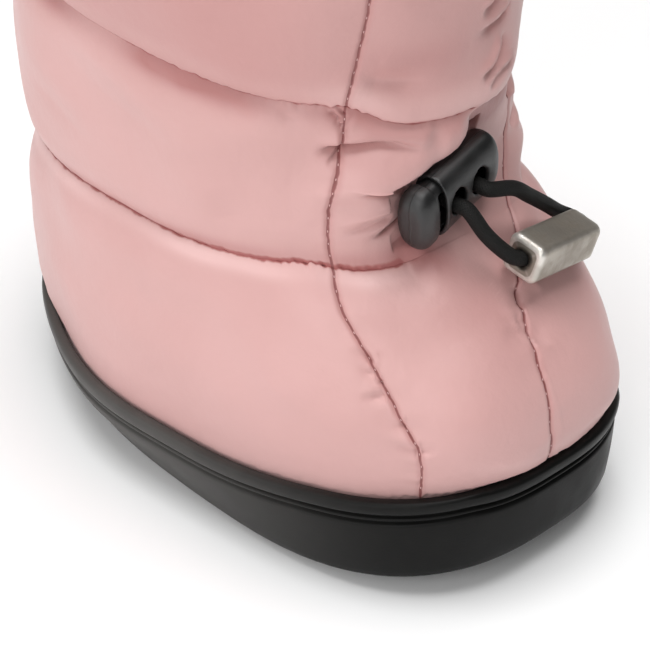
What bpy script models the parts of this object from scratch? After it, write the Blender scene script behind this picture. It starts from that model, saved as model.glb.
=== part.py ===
# Quilted toddler bootie: moulded sole, rand, hollow padded upper, insole, cord lock, cord and bead.
# The toe points to +X, the wearer's left is +Y and the floor is z = 0.  Sizes below are millimetres.
import math

import bmesh
import bpy
import numpy as np
from mathutils import Matrix, Vector

MM = 0.001

SOLE_LENGTH = 142.0
SOLE_WIDTH = 85.0
TOE_POWER = 2.75
HEEL_POWER = 2.2
TOE_SWING = 2.0
TOE_RISE = 6.0
TOE_RISE_START = 20.0
TOE_RISE_RUN = 50.0
TOE_LIFT = 2.4
SOLE_COLUMNS = 72
SIDE_SWELL = 3.3
SWELL_CENTRE = -16.0
SWELL_REACH = 26.0

TREAD_HEIGHT = 1.4
TREAD_INSET = 4.5
TREAD_GROOVE = 3.0
SOLE_TOP = 15.1
FIT_GAP = 0.3

RAND_TOP = 18.5
RAND_INNER = 2.8
INSOLE_INSET = 5.4
INSOLE_THICK = 3.0

LINING = 1.6
RISE_FADE = 62.0
RISE_FULL = 20.0
FRONT_COLUMNS = 14
BACK_COLUMNS = 50
PUFF_POWER = 0.42
FOOT_POWER = 1.0
SEAM_VALLEY = 0.6
VALLEY_WIDTH = 4.0
FOLD_PUFF = 5.5
FOLD_LEVEL = 0.80
FOLD_TILT = 0.5
FOLD_REACH = 0.15

TOGGLE_CENTRE = (42.0, -1.1, 75.95)
TOGGLE_AXIS = (-0.167, 0.97, 0.178)
TOGGLE_LEAN = 5.0
BARREL_START = -7.0
BARREL_END = 10.9
BARREL_HALF_DEPTH = 3.95
BARREL_HALF_HEIGHT = 7.1
BARREL_WALL = 0.8
BARREL_FLOOR = 1.9
BUTTON_REACH = 6.8
BUTTON_GAP = 2.4
BUTTON_SIZE = 0.98
STEM_PLAY = 0.3
STEM_TAIL = 6.4
STEM_WINDOW = -7.9
STEM_RAIL = 4.2
HOLE_NEAR = -3.4
HOLE_FAR = 3.3
HOLE_WIDTH = 5.0
HOLE_LOW = -2.5
HOLE_HIGH = 3.3
SEAT_GAP = 0.4
SEAT_MARGIN = 1.2

CORD_DIAMETER = 3.0
CORD_STEP = 3.0
CORD_DROP = -0.8
BEAD_CENTRE = (54.0, 14.18, 61.46)
BEAD_AXIS = (-0.107, 0.978, -0.178)
BEAD_LENGTH = 19.5
BEAD_DEPTH = 8.1
BEAD_HEIGHT = 8.1
BEAD_BORE = 4.8
BEAD_ROLL = 10.7
BEAD_ROUND = 1.1

# cord before the bead, from its near end: along, behind, above
CORD_LEAD = (
    (-6.0, 5.1, 4.9),
    (-3.6, 3.0, 2.2),
    (-1.6, 0.8, 0.5),
)
# cord past the bead, from its far end: along, behind, above
CORD_TURN = (
    (1.6, 0.4, 0.1),
    (3.1, 2.3, 0.5),
    (2.7, 4.7, 1.0),
    (0.9, 6.1, 1.8),
    (-5.1, 5.9, 5.2),
    (-11.3, 6.0, 8.6),
    (-16.7, 6.4, 11.4),
)

# side of the sole: height, inset at toe and heel, extra inset along the waist
SOLE_SIDE = (
    (1.4, 3.0, 2.2),
    (2.0, 2.1, 2.2),
    (3.4, 1.6, 2.1),
    (13.2, 1.0, 0.4),
    (13.5, 1.7, 0.3),
    (13.9, 1.7, 0.3),
    (14.1, 1.0, 0.3),
    (14.6, 1.0, 0.3),
    (14.8, 1.7, 0.3),
    (15.1, 1.7, 0.3),
)
# outside of the rand: height, inset
RAND_SIDE = (
    (15.4, 1.3),
    (15.8, 0.3),
    (17.7, 0.0),
    (18.2, 0.3),
    (18.5, 1.0),
)
# lugs: front and back edge of each run, and its number of grooves
TREAD_RUNS = ((1.0, 66.0, 6), (-66.0, -34.0, 3))

# wall of the upper at the seams: height, heel, front, half width, front power, back power
SECTIONS = (
    (14.4, -67.9, 67.9, 39.4, 2.75, 2.20),
    (19.0, -67.9, 67.9, 39.4, 2.75, 2.20),
    (27.0, -68.2, 68.2, 39.6, 2.65, 2.20),
    (35.0, -68.3, 66.0, 39.0, 2.60, 2.25),
    (43.0, -68.4, 61.2, 38.2, 2.60, 2.30),
    (51.0, -68.5, 54.2, 37.2, 2.70, 2.30),
    (57.0, -68.6, 48.4, 36.4, 2.80, 2.30),
    (62.0, -68.7, 43.6, 36.0, 2.90, 2.30),
    (68.0, -68.8, 38.2, 35.8, 2.90, 2.30),
    (75.0, -69.0, 35.2, 35.8, 2.80, 2.30),
    (82.0, -69.2, 35.4, 35.8, 2.60, 2.30),
    (90.0, -69.4, 38.2, 36.0, 2.45, 2.30),
    (100.0, -69.6, 39.5, 36.2, 2.35, 2.30),
    (138.0, -70.2, 41.0, 37.6, 2.30, 2.30),
    (182.0, -70.6, 42.5, 38.6, 2.30, 2.30),
)
# cross seams: level, rise toward the front, dip in the middle of the front, puff above it
CROSS_SEAMS = (
    (18.5, 0.0, 0.0, 3.0),
    (60.4, 5.8, -2.8, 2.8),
    (98.2, -2.4, -0.5, 2.8),
    (134.0, 3.0, -1.0, 2.6),
    (165.0, 4.0, 0.0, 1.4),
    (172.0, 4.0, 0.0, 0.0),
)
# rows of the quilting between one cross seam and the next
QUILT_ROWS = (
    (0.05, 0.2, 0.4, 0.6, 0.8, 0.95, 1.0),
    (0.04, 0.12, 0.22, 0.34, 0.46, 0.58, 0.7, 0.82, 0.93, 1.0),
    (0.06, 0.25, 0.5, 0.75, 0.94, 1.0),
    (0.06, 0.25, 0.5, 0.75, 0.94, 1.0),
    (0.2, 0.8, 1.0),
)
# front seams: height, angle on the right side, angle on the left side
FRONT_SEAMS = (
    (14.0, -32.0, 1.5),
    (30.0, -34.5, 1.5),
    (45.0, -37.0, 2.5),
    (50.0, -36.3, 7.0),
    (60.0, -34.0, 14.0),
    (70.0, -33.0, 20.0),
    (78.0, -32.0, 27.0),
    (97.0, -31.0, 30.0),
    (176.0, -33.0, 33.0),
)
# heights of the rows of the lining
LINING_ROWS = (134, 116, 100, 91, 84, 78, 72, 66, 60, 53, 45, 36, 27, 20, 15.4)

COLOURS = {
    "outsole": (0.018, 0.018, 0.017),
    "rand": (0.020, 0.020, 0.019),
    "upper": (0.70, 0.42, 0.40),
    "insole": (0.30, 0.27, 0.25),
    "toggle_barrel": (0.025, 0.025, 0.026),
    "toggle_button": (0.025, 0.025, 0.026),
    "drawcord": (0.015, 0.015, 0.015),
    "cord_bead": (0.42, 0.39, 0.35),
}


def ease(low, high, value):
    t = np.clip((value - low) / (high - low), 0.0, 1.0)
    return t * t * (3.0 - 2.0 * t)


def smooth_table(table, value):
    # cubic through the rows of a table, first column against the rest
    rows = np.array(table, dtype=float)
    keys, values = rows[:, 0], rows[:, 1:]
    slope = np.gradient(values, keys, axis=0)
    value = np.clip(np.asarray(value, dtype=float), keys[0], keys[-1])
    i = np.clip(np.searchsorted(keys, value, side="right") - 1, 0, len(keys) - 2)
    step = (keys[i + 1] - keys[i])[..., None]
    t = (value - keys[i])[..., None] / step
    level = values[i] * (1 + 2 * t) * (1 - t) ** 2 + values[i + 1] * t * t * (3 - 2 * t)
    return level + step * t * (1 - t) * (slope[i] * (1 - t) - slope[i + 1] * t)


def signed_power(value, power):
    return np.sign(value) * np.abs(value) ** power


def even_angles(count):
    return (np.arange(count) + 0.5) * 2.0 * math.pi / count


def waist(angle):
    # 0 round the toe, 1 along the sides, half at the heel
    c = np.cos(angle)
    return ease(-0.85, -0.1, -c) * (1.0 - 0.5 * ease(0.4, 1.0, -c))


def toe_rise(x):
    return TOE_RISE * np.clip((x - TOE_RISE_START) / TOE_RISE_RUN, 0.0, 1.2) ** 2


def toe_lift(x, height):
    # the wall of the sole grows taller toward the toe, a little less at its tip
    share = ease(12.0, 45.0, x) * (1.0 - 0.5 * ease(66.0, 71.0, x))
    return TOE_LIFT * share * ease(2.0, 13.0, height)


def side_swell(x, y, height):
    # the outer side swells over the arch, fading down to the tread and up the upper
    share = ease(2.0, 13.0, height) * (1.0 - ease(20.0, 48.0, height)) * ease(0.0, 20.0, -y)
    return SIDE_SWELL * share * np.exp(-(((x - SWELL_CENTRE) / SWELL_REACH) ** 2))


def sole_ring(height, inset, waist_inset=0.0):
    angle = even_angles(SOLE_COLUMNS)
    c, s = np.cos(angle), np.sin(angle)
    inset = inset + waist_inset * waist(angle)
    power = 2.0 / np.where(c > 0.0, TOE_POWER, HEEL_POWER)
    x = (SOLE_LENGTH / 2 - inset) * signed_power(c, power)
    y = (SOLE_WIDTH / 2 - inset) * signed_power(s, power)
    y = y + TOE_SWING * np.clip(2.0 * x / SOLE_LENGTH, 0.0, 1.0) ** 2 - side_swell(x, y, height)
    return np.stack([x, y, np.full_like(x, height)], axis=-1)


def wall_point(angle, height):
    # a point of the upper's wall, on the section at that height
    back, front, half, front_power, back_power = np.moveaxis(smooth_table(SECTIONS, height), -1, 0)
    c, s = np.cos(angle), np.sin(angle)
    power = 2.0 / np.where(c > 0.0, front_power, back_power)
    x = (front + back) / 2 + (front - back) / 2 * signed_power(c, power)
    low = np.clip((RISE_FADE - height) / (RISE_FADE - RISE_FULL), 0.0, 1.0)
    swing = TOE_SWING * np.clip(2.0 * x / SOLE_LENGTH, 0.0, 1.0) ** 2
    y = half * signed_power(s, power)
    y = y + swing * low - side_swell(x, y, height)
    return np.stack([x, y, height + (toe_rise(x) + toe_lift(x, height)) * low], axis=-1)


def wall_normal(angle, height):
    along = wall_point(angle + 0.001, height) - wall_point(angle - 0.001, height)
    up = wall_point(angle, height + 0.05) - wall_point(angle, height - 0.05)
    normal = np.cross(along, up)
    return normal / np.linalg.norm(normal, axis=-1, keepdims=True)


def seam_height(row, angle):
    level, rise, dip, puff = CROSS_SEAMS[row]
    c = np.cos(angle)
    return level + rise * c + dip * ease(0.7, 0.97, c)


def column_angles(height):
    # the two front seams are columns, with even columns between them
    right, left = np.radians(smooth_table(FRONT_SEAMS, height))
    front = np.linspace(right, left, FRONT_COLUMNS + 1)[:-1]
    back = np.linspace(left, right + 2.0 * math.pi, BACK_COLUMNS + 1)[:-1]
    angle = np.concatenate([front, back])
    turn = np.abs(np.angle(np.exp(1j * (angle[:, None] - np.array([right, left])))))
    return angle, turn.min(axis=1)


def toggle_frame():
    axis = np.array(Vector(TOGGLE_AXIS).normalized())
    level = np.array(Vector((axis[1], -axis[0], 0.0)).normalized())
    up = np.cross(level, axis)
    lean = math.radians(TOGGLE_LEAN)
    return axis, up * math.cos(lean) + level * math.sin(lean), level * math.cos(lean) - up * math.sin(lean)


def toggle_point(along, tall, out):
    axis, up, face = toggle_frame()
    spread = [np.asarray(value, dtype=float)[..., None] for value in (along, tall, out)]
    return np.array(TOGGLE_CENTRE) + spread[0] * axis + spread[1] * up + spread[2] * face


def seat(points, room):
    # press the wall back behind the cord lock, easing out round its edge
    axis, up, face = toggle_frame()
    local = points - np.array(TOGGLE_CENTRE)
    start = BARREL_START - BUTTON_REACH
    past_end = np.abs(local @ axis - (BARREL_END + start) / 2) - (BARREL_END - start) / 2
    past_side = np.abs(local @ up) - BARREL_HALF_HEIGHT
    past = np.hypot(np.maximum(past_end - SEAT_MARGIN, 0.0), np.maximum(past_side - SEAT_MARGIN, 0.0))
    limit = past * (1.6 + 0.25 * past) - BARREL_HALF_DEPTH - SEAT_GAP - room
    return points - np.maximum(local @ face - limit, 0.0)[..., None] * face


def quilt_ring(row, t):
    level = CROSS_SEAMS[row][0] * (1 - t) + CROSS_SEAMS[row + 1][0] * t
    angle, turn = column_angles(level)
    height = seam_height(row, angle) * (1 - t) + seam_height(row + 1, angle) * t
    power = FOOT_POWER if row == 0 and t < 0.5 else PUFF_POWER
    puff = CROSS_SEAMS[row][3] * max(4.0 * t * (1.0 - t), 0.0) ** power
    puff = puff * (1.0 - SEAM_VALLEY * np.exp(-(turn * 50.0 / VALLEY_WIDTH) ** 2))
    if row == 1:
        level = FOLD_LEVEL + FOLD_TILT * np.sin(angle)
        fold = FOLD_PUFF * np.exp(-((t - level) / FOLD_REACH) ** 2) * (1 - t) ** 0.3
        puff = puff + fold * ease(0.75, 0.95, np.cos(angle))
    return seat(wall_point(angle, height) + wall_normal(angle, height) * puff[:, None], 0.0)


def lining_ring(height):
    angle, turn = column_angles(np.mean(height))
    height = np.broadcast_to(height, angle.shape)
    return seat(wall_point(angle, height) - wall_normal(angle, height) * LINING, LINING)


def superellipse(count, half_a, half_b, power):
    angle = even_angles(count)
    across = half_a * signed_power(np.cos(angle), 2.0 / power)
    return across, half_b * signed_power(np.sin(angle), 2.0 / power)


def set_material(item, name):
    material = bpy.data.materials.new(name)
    material.use_nodes = True
    shader = material.node_tree.nodes["Principled BSDF"]
    shader.inputs["Base Color"].default_value = (*COLOURS[name], 1.0)
    shader.inputs["Roughness"].default_value = 0.55
    shader.inputs["Metallic"].default_value = 1.0 if name == "cord_bead" else 0.0
    material.diffuse_color = (*COLOURS[name], 1.0)
    item.data.materials.clear()
    item.data.materials.append(material)


def loft(name, rings, collection, ring_closed=False):
    # skin a row of rings; ends are filled with strips across, or joined when the row is a loop
    rings = np.asarray(rings)
    rows, count = rings.shape[:2]
    mesh_data = bmesh.new()
    verts = [[mesh_data.verts.new(point * MM) for point in ring] for ring in rings]
    for r in range(rows if ring_closed else rows - 1):
        low, high = verts[r], verts[(r + 1) % rows]
        for i in range(count):
            j = (i + 1) % count
            mesh_data.faces.new((low[i], low[j], high[j], high[i]))
    for ring, turned in () if ring_closed else ((verts[0], True), (verts[-1], False)):
        for i in range(count // 2 - 1):
            face = (ring[i], ring[i + 1], ring[count - 2 - i], ring[count - 1 - i])
            mesh_data.faces.new(face[::-1] if turned else face)
    bmesh.ops.recalc_face_normals(mesh_data, faces=mesh_data.faces)
    mesh = bpy.data.meshes.new(name)
    mesh_data.to_mesh(mesh)
    mesh_data.free()
    item = bpy.data.objects.new(name, mesh)
    collection.objects.link(item)
    return item


def boxes(name, places, collection):
    # a cutter of separate boxes: centre and full size of each
    mesh_data = bmesh.new()
    for centre, size in places:
        place = Matrix.Translation(Vector(centre) * MM) @ Matrix.Diagonal((*(Vector(size) * MM), 1.0))
        bmesh.ops.create_cube(mesh_data, size=1.0, matrix=place)
    mesh = bpy.data.meshes.new(name)
    mesh_data.to_mesh(mesh)
    mesh_data.free()
    item = bpy.data.objects.new(name, mesh)
    collection.objects.link(item)
    return item


def combine(item, tool, operation):
    modifier = item.modifiers.new(tool.name, "BOOLEAN")
    modifier.operation = operation
    modifier.solver = "EXACT"
    modifier.object = tool


def keep_result(item):
    bpy.context.view_layer.update()
    graph = bpy.context.evaluated_depsgraph_get()
    mesh = bpy.data.meshes.new_from_object(item.evaluated_get(graph))
    item.modifiers.clear()
    item.data = mesh


def raise_toe(item):
    for vertex in item.data.vertices:
        x, height = vertex.co.x / MM, vertex.co.z / MM
        vertex.co.z += float(toe_rise(x) + toe_lift(x, height)) * MM


def build_outsole(parts, cutters):
    body = loft("outsole", [sole_ring(*row) for row in SOLE_SIDE], parts)
    tread = loft("tread", [sole_ring(z, TREAD_INSET, 3.5) for z in (0.0, TREAD_HEIGHT + 0.8)], cutters)
    cross, spans = [], []
    for back, front, count in TREAD_RUNS:
        pitch = (front - back) / (count + 1)
        for i in range(count):
            cross.append(((back + pitch * (i + 1), 0.0, 0.0), (TREAD_GROOVE, SOLE_WIDTH, 9.0)))
    arch_front, arch_back = TREAD_RUNS[0][0], TREAD_RUNS[1][1]
    spans.append((((arch_front + arch_back) / 2, 0.0, 0.0), (arch_front - arch_back, SOLE_WIDTH, 9.0)))
    combine(tread, boxes("tread_grooves", cross, cutters), "DIFFERENCE")
    combine(tread, boxes("arch_gap", spans, cutters), "DIFFERENCE")
    middle = [((0.0, 0.0, 0.0), (SOLE_LENGTH, TREAD_GROOVE, 9.0))]
    combine(tread, boxes("middle_groove", middle, cutters), "DIFFERENCE")
    keep_result(tread)
    combine(body, tread, "UNION")
    keep_result(body)
    raise_toe(body)
    return body


def build_rand(parts):
    rings = [sole_ring(*row) for row in RAND_SIDE]
    rings += [sole_ring(z, RAND_INNER) for z in (RAND_TOP, SOLE_TOP + FIT_GAP)]
    rand = loft("rand", rings, parts, ring_closed=True)
    raise_toe(rand)
    return rand


def build_insole(parts):
    low = SOLE_TOP + FIT_GAP
    rows = ((low, 0.0), (low + INSOLE_THICK * 0.7, 0.0), (low + INSOLE_THICK, 0.8))
    insole = loft("insole", [sole_ring(z, INSOLE_INSET + edge) for z, edge in rows], parts)
    raise_toe(insole)
    return insole


def build_upper(parts):
    low = np.full(FRONT_COLUMNS + BACK_COLUMNS, SOLE_TOP + FIT_GAP)
    rings = [wall_point(column_angles(low[0])[0], low), quilt_ring(0, 0.0)]
    for row, steps in enumerate(QUILT_ROWS):
        rings += [quilt_ring(row, t) for t in steps]
    top = seam_height(len(QUILT_ROWS), column_angles(CROSS_SEAMS[-1][0])[0])
    rings.append(lining_ring(top))
    rings += [lining_ring(height) for height in LINING_ROWS]
    return loft("upper", rings, parts, ring_closed=True)


def toggle_ring(along, half_depth, half_height, count=28, power=2.5):
    out, tall = superellipse(count, half_depth, half_height, power)
    return toggle_point(np.full(count, along), tall, out)


def build_toggle(parts, cutters):
    depth, height = BARREL_HALF_DEPTH, BARREL_HALF_HEIGHT
    ends = ((0.0, 0.45), (0.4, 0.72), (1.4, 0.92), (3.5, 1.0))
    rings = [toggle_ring(BARREL_START, depth, height)]
    rings += [toggle_ring(BARREL_END - back, depth * size, height * size) for back, size in ends[::-1]]
    barrel = loft("toggle_barrel", rings, parts)
    room_depth, room_height = depth - BARREL_WALL, height - BARREL_WALL
    room_ends = (BARREL_START - 2.0, BARREL_END - BARREL_FLOOR)
    room = [toggle_ring(place, room_depth, room_height) for place in room_ends]
    combine(barrel, loft("toggle_room", room, cutters), "DIFFERENCE")
    for name, place in (("hole_near", HOLE_NEAR), ("hole_far", HOLE_FAR)):
        across, tall = superellipse(20, HOLE_WIDTH / 2, (HOLE_HIGH - HOLE_LOW) / 2, 2.0)
        tall = tall + (HOLE_HIGH + HOLE_LOW) / 2
        hole = [toggle_point(place + across, tall, np.full(20, out)) for out in (-8.0, 8.0)]
        combine(barrel, loft(name, hole, cutters), "DIFFERENCE")
    keep_result(barrel)
    start, stop = BARREL_START - BUTTON_REACH, BARREL_START - BUTTON_GAP
    domes = ((0.0, 0.40), (0.4, 0.66), (1.4, 0.88), (2.8, 0.98), (stop - start, 1.0))
    cap_depth, cap_height = depth * BUTTON_SIZE, height * BUTTON_SIZE
    rings = [toggle_ring(start + place, cap_depth * size, cap_height * size) for place, size in domes]
    stem_depth, stem_height = room_depth - STEM_PLAY, room_height - STEM_PLAY
    rings += [toggle_ring(place, stem_depth, stem_height) for place in (stop, STEM_TAIL)]
    button = loft("toggle_button", rings, parts)
    low, high = np.array([STEM_WINDOW, -STEM_RAIL]), np.array([STEM_TAIL + 4.0, STEM_RAIL])
    across = np.array([low[0], high[0], high[0], low[0]])
    tall = np.array([low[1], low[1], high[1], high[1]])
    window = [toggle_point(across, tall, np.full(4, out)) for out in (-9.0, 9.0)]
    combine(button, loft("button_window", window, cutters), "DIFFERENCE")
    keep_result(button)
    return barrel, button


def bead_frame():
    axis = np.array(Vector(BEAD_AXIS).normalized())
    level = np.array(Vector((axis[1], -axis[0], 0.0)).normalized())
    return axis, level, np.cross(level, axis)


def build_bead(parts, cutters):
    axis, level, up = bead_frame()
    turn = Matrix((level, axis, up)).transposed() @ Matrix.Rotation(math.radians(BEAD_ROLL), 3, "Y")
    place = Matrix.Translation(Vector(BEAD_CENTRE) * MM) @ turn.to_4x4()
    size = Matrix.Diagonal((BEAD_DEPTH * MM, BEAD_LENGTH * MM, BEAD_HEIGHT * MM, 1.0))
    mesh_data = bmesh.new()
    bmesh.ops.create_cube(mesh_data, size=1.0, matrix=size)
    mesh = bpy.data.meshes.new("cord_bead")
    mesh_data.to_mesh(mesh)
    mesh_data.free()
    bead = bpy.data.objects.new("cord_bead", mesh)
    parts.objects.link(bead)
    rounding = bead.modifiers.new("rounding", "BEVEL")
    rounding.width = BEAD_ROUND * MM
    rounding.segments = 3
    bpy.ops.mesh.primitive_cylinder_add(vertices=24, radius=BEAD_BORE / 2 * MM, depth=2 * BEAD_LENGTH * MM)
    bore = bpy.context.object
    bore.name = "bead_bore"
    bore.data.transform(Matrix.Rotation(math.radians(90.0), 4, "X"))
    for owner in list(bore.users_collection):
        owner.objects.unlink(bore)
    cutters.objects.link(bore)
    combine(bead, bore, "DIFFERENCE")
    keep_result(bead)
    bead.data.transform(place)
    return bead


def cord_route():
    # from behind the near hole, through the bead, round its far end and back through the far hole
    axis, level, up = bead_frame()
    outs = np.array([-BARREL_HALF_DEPTH - 0.1, 0.0, 3.5, 5.5])
    near = toggle_point(np.full(4, HOLE_NEAR), np.full(4, CORD_DROP), outs)
    far = toggle_point(np.full(4, HOLE_FAR), np.full(4, CORD_DROP), outs)[::-1]
    middle = np.array(BEAD_CENTRE)
    end = BEAD_LENGTH / 2
    lead = [middle + axis * (along - end) - level * behind + up * above for along, behind, above in CORD_LEAD]
    inside = [middle + axis * along for along in (1.0 - end, 0.0, end - 0.5)]
    turn = [middle + axis * (along + end) - level * behind + up * above for along, behind, above in CORD_TURN]
    return np.array([*near, *lead, *inside, *turn, *far])


def smooth_route(points, step):
    # even points on a cubic that passes through every route point
    span = np.linalg.norm(np.diff(points, axis=0), axis=1) ** 0.5
    keys = np.concatenate([[0.0], np.cumsum(span)])
    fine = smooth_table(np.column_stack([keys, points]), np.linspace(0.0, keys[-1], 800))
    length = np.concatenate([[0.0], np.cumsum(np.linalg.norm(np.diff(fine, axis=0), axis=1))])
    even = np.linspace(0.0, length[-1], int(round(length[-1] / step)) + 1)
    return np.stack([np.interp(even, length, fine[:, i]) for i in range(3)], axis=-1)


def build_cord(parts):
    points = smooth_route(cord_route(), CORD_STEP) * MM
    curve = bpy.data.curves.new("drawcord_path", "CURVE")
    curve.dimensions = "3D"
    spline = curve.splines.new("POLY")
    spline.points.add(len(points) - 1)
    spline.points.foreach_set("co", np.column_stack([points, np.ones(len(points))]).ravel())
    curve.bevel_depth = CORD_DIAMETER / 2 * MM
    curve.bevel_resolution = 2
    curve.use_fill_caps = True
    guide = bpy.data.objects.new("drawcord_path", curve)
    parts.objects.link(guide)
    bpy.context.view_layer.update()
    graph = bpy.context.evaluated_depsgraph_get()
    mesh = bpy.data.meshes.new_from_object(guide.evaluated_get(graph))
    mesh_data = bmesh.new()
    mesh_data.from_mesh(mesh)
    bmesh.ops.remove_doubles(mesh_data, verts=mesh_data.verts, dist=0.00001)
    bmesh.ops.recalc_face_normals(mesh_data, faces=mesh_data.faces)
    mesh_data.to_mesh(mesh)
    mesh_data.free()
    bpy.data.objects.remove(guide)
    cord = bpy.data.objects.new("drawcord", mesh)
    parts.objects.link(cord)
    return cord


def settle(items, free):
    # move everything so that the middle of the bootie, without its cord, is over the origin
    spots = np.array([v.co for item in items if item.name not in free for v in item.data.vertices])
    low, high = spots.min(axis=0), spots.max(axis=0)
    move = Vector((-(low[0] + high[0]) / 2, -(low[1] + high[1]) / 2, -low[2]))
    for item in items:
        item.data.transform(Matrix.Translation(move))
    print("moved", [round(value / MM, 3) for value in move])


def main():
    for item in list(bpy.data.objects):
        bpy.data.objects.remove(item)
    parts = bpy.data.collections.new("puffer_bootie")
    cutters = bpy.data.collections.new("cutters")
    for collection in (parts, cutters):
        bpy.context.scene.collection.children.link(collection)
    items = [build_outsole(parts, cutters), build_rand(parts), build_insole(parts), build_upper(parts)]
    items += [*build_toggle(parts, cutters), build_bead(parts, cutters), build_cord(parts)]
    settle(items, ("drawcord", "cord_bead"))
    for item in items:
        set_material(item, item.name)
    for tool in cutters.objects:
        tool.hide_render = True
        tool.display_type = "WIRE"


main()
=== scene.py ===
import math

import bpy
import numpy as np
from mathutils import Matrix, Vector


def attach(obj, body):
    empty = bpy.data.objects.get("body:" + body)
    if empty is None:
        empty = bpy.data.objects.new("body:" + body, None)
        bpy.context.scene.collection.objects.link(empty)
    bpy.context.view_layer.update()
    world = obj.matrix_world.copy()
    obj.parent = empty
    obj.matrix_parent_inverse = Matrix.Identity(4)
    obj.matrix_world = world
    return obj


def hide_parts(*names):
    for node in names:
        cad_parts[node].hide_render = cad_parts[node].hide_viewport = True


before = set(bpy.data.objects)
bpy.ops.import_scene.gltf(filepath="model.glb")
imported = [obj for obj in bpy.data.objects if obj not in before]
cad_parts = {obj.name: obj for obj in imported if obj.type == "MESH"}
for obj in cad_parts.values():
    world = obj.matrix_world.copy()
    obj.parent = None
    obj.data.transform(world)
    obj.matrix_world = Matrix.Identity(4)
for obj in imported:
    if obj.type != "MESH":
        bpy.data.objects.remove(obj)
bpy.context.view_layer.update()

mm = 0.001
partMove = np.array([0.970, 1.432, 0.0])  # from the sizes below to the frame's origin
turn = 2.0 * math.pi


# camera at the angle of the photo

cameraLook = {
    "azimuth": 48.0,
    "elevation": 34.5,
    "distance": 460.0,
    "target": (0.006, 0.014, 30.0),
    "lens": 121.78,
    "shift": (0.02923, -0.05231),
}


def makeCamera(look):
    # the camera stands at a distance from the target, turned by azimuth and raised by elevation
    a, e = math.radians(look["azimuth"]), math.radians(look["elevation"])
    back = Vector((math.sin(a) * math.cos(e), -math.cos(a) * math.cos(e), math.sin(e)))
    target = Vector(np.array(look["target"]) + partMove) * mm
    data = bpy.data.cameras.new("photoCamera")
    data.sensor_width = 36.0
    data.lens = look["lens"]
    data.shift_x, data.shift_y = look["shift"]
    camera = bpy.data.objects.new("photoCamera", data)
    camera.location = target + back * look["distance"] * mm
    camera.rotation_euler = (-back).to_track_quat("-Z", "Y").to_euler()
    bpy.context.scene.collection.objects.link(camera)
    bpy.context.scene.camera = camera


makeCamera(cameraLook)
print("camera set")


# small tools for curves and tables

def ease(low, high, value):
    # smooth step: 0 below low, 1 above high
    t = np.clip((value - low) / (high - low), 0.0, 1.0)
    return t * t * (3.0 - 2.0 * t)


def bell(value, width):
    # 1 at zero, falling off as a bell with that width
    return np.exp(-(value / width) ** 2)


def signedPower(value, power):
    # power of the size, with the sign kept
    return np.sign(value) * np.abs(value) ** power


def smoothTable(table, value):
    # cubic through the rows of a table, first column against the rest
    rows = np.array(table, dtype=float)
    keys, values = rows[:, 0], rows[:, 1:]
    slope = np.gradient(values, keys, axis=0)
    value = np.clip(np.asarray(value, dtype=float), keys[0], keys[-1])
    i = np.clip(np.searchsorted(keys, value, side="right") - 1, 0, len(keys) - 2)
    step = (keys[i + 1] - keys[i])[..., None]
    t = (value - keys[i])[..., None] / step
    level = values[i] * (1 + 2 * t) * (1 - t) ** 2 + values[i + 1] * t * t * (3 - 2 * t)
    return level + step * t * (1 - t) * (slope[i] * (1 - t) - slope[i + 1] * t)


def smoothLine(points, count):
    # that many even points on a cubic through every given point
    points = np.array(points, dtype=float)
    span = np.linalg.norm(np.diff(points, axis=0), axis=1) ** 0.5
    keys = np.concatenate([[0.0], np.cumsum(span)])
    fine = smoothTable(np.column_stack([keys, points]), np.linspace(0.0, keys[-1], 1200))
    length = np.concatenate([[0.0], np.cumsum(np.linalg.norm(np.diff(fine, axis=0), axis=1))])
    even = np.linspace(0.0, length[-1], count)
    return np.stack([np.interp(even, length, fine[:, i]) for i in range(fine.shape[1])], axis=-1), length[-1]


def unit(vectors):
    # each vector over its length
    return vectors / np.linalg.norm(vectors, axis=-1, keepdims=True)


def putMesh(name, points, faces, values=None, uv=None, sharp=None):
    # points in millimetres and a list of face arrays go into one mesh, with point values and corner uv
    sizes = np.concatenate([np.full(len(f), f.shape[1]) for f in faces])
    corners = np.concatenate([f.ravel() for f in faces]).astype(np.int32)
    starts = np.concatenate([[0], np.cumsum(sizes)[:-1]]).astype(np.int32)
    mesh = bpy.data.meshes.new(name)
    mesh.vertices.add(len(points))
    mesh.vertices.foreach_set("co", ((points + partMove) * mm).astype(np.float32).ravel())
    mesh.loops.add(len(corners))
    mesh.loops.foreach_set("vertex_index", corners)
    mesh.polygons.add(len(sizes))
    mesh.polygons.foreach_set("loop_start", starts)
    mesh.polygons.foreach_set("use_smooth", np.ones(len(sizes), dtype=bool))
    mesh.update(calc_edges=True)
    for key, value in (values or {}).items():
        layer = mesh.attributes.new(key, "FLOAT", "POINT")
        layer.data.foreach_set("value", np.asarray(value, dtype=np.float32).ravel())
    if uv is not None:
        layer = mesh.uv_layers.new(name="cloth")
        layer.data.foreach_set("uv", uv.astype(np.float32).ravel())
    mesh.validate()
    if sharp:
        mesh.set_sharp_from_angle(angle=math.radians(sharp))
    item = bpy.data.objects.new(name, mesh)
    bpy.context.scene.collection.objects.link(item)
    return item


def ringAngles(count):
    # angles in the middle of that many even steps round a ring
    return (np.arange(count) + 0.5) * turn / count


def gridFaces(rows, cols, wrapRows=False, first=0):
    # quads between neighbours of a grid that closes round its columns, and round its rows where asked
    index = first + np.arange(rows * cols).reshape(rows, cols)
    index = np.concatenate([index, index[:, :1]], axis=1)
    if wrapRows:
        index = np.concatenate([index, index[:1]], axis=0)
    return np.stack([index[:-1, :-1], index[:-1, 1:], index[1:, 1:], index[1:, :-1]], axis=-1).reshape(-1, 4)


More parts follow.
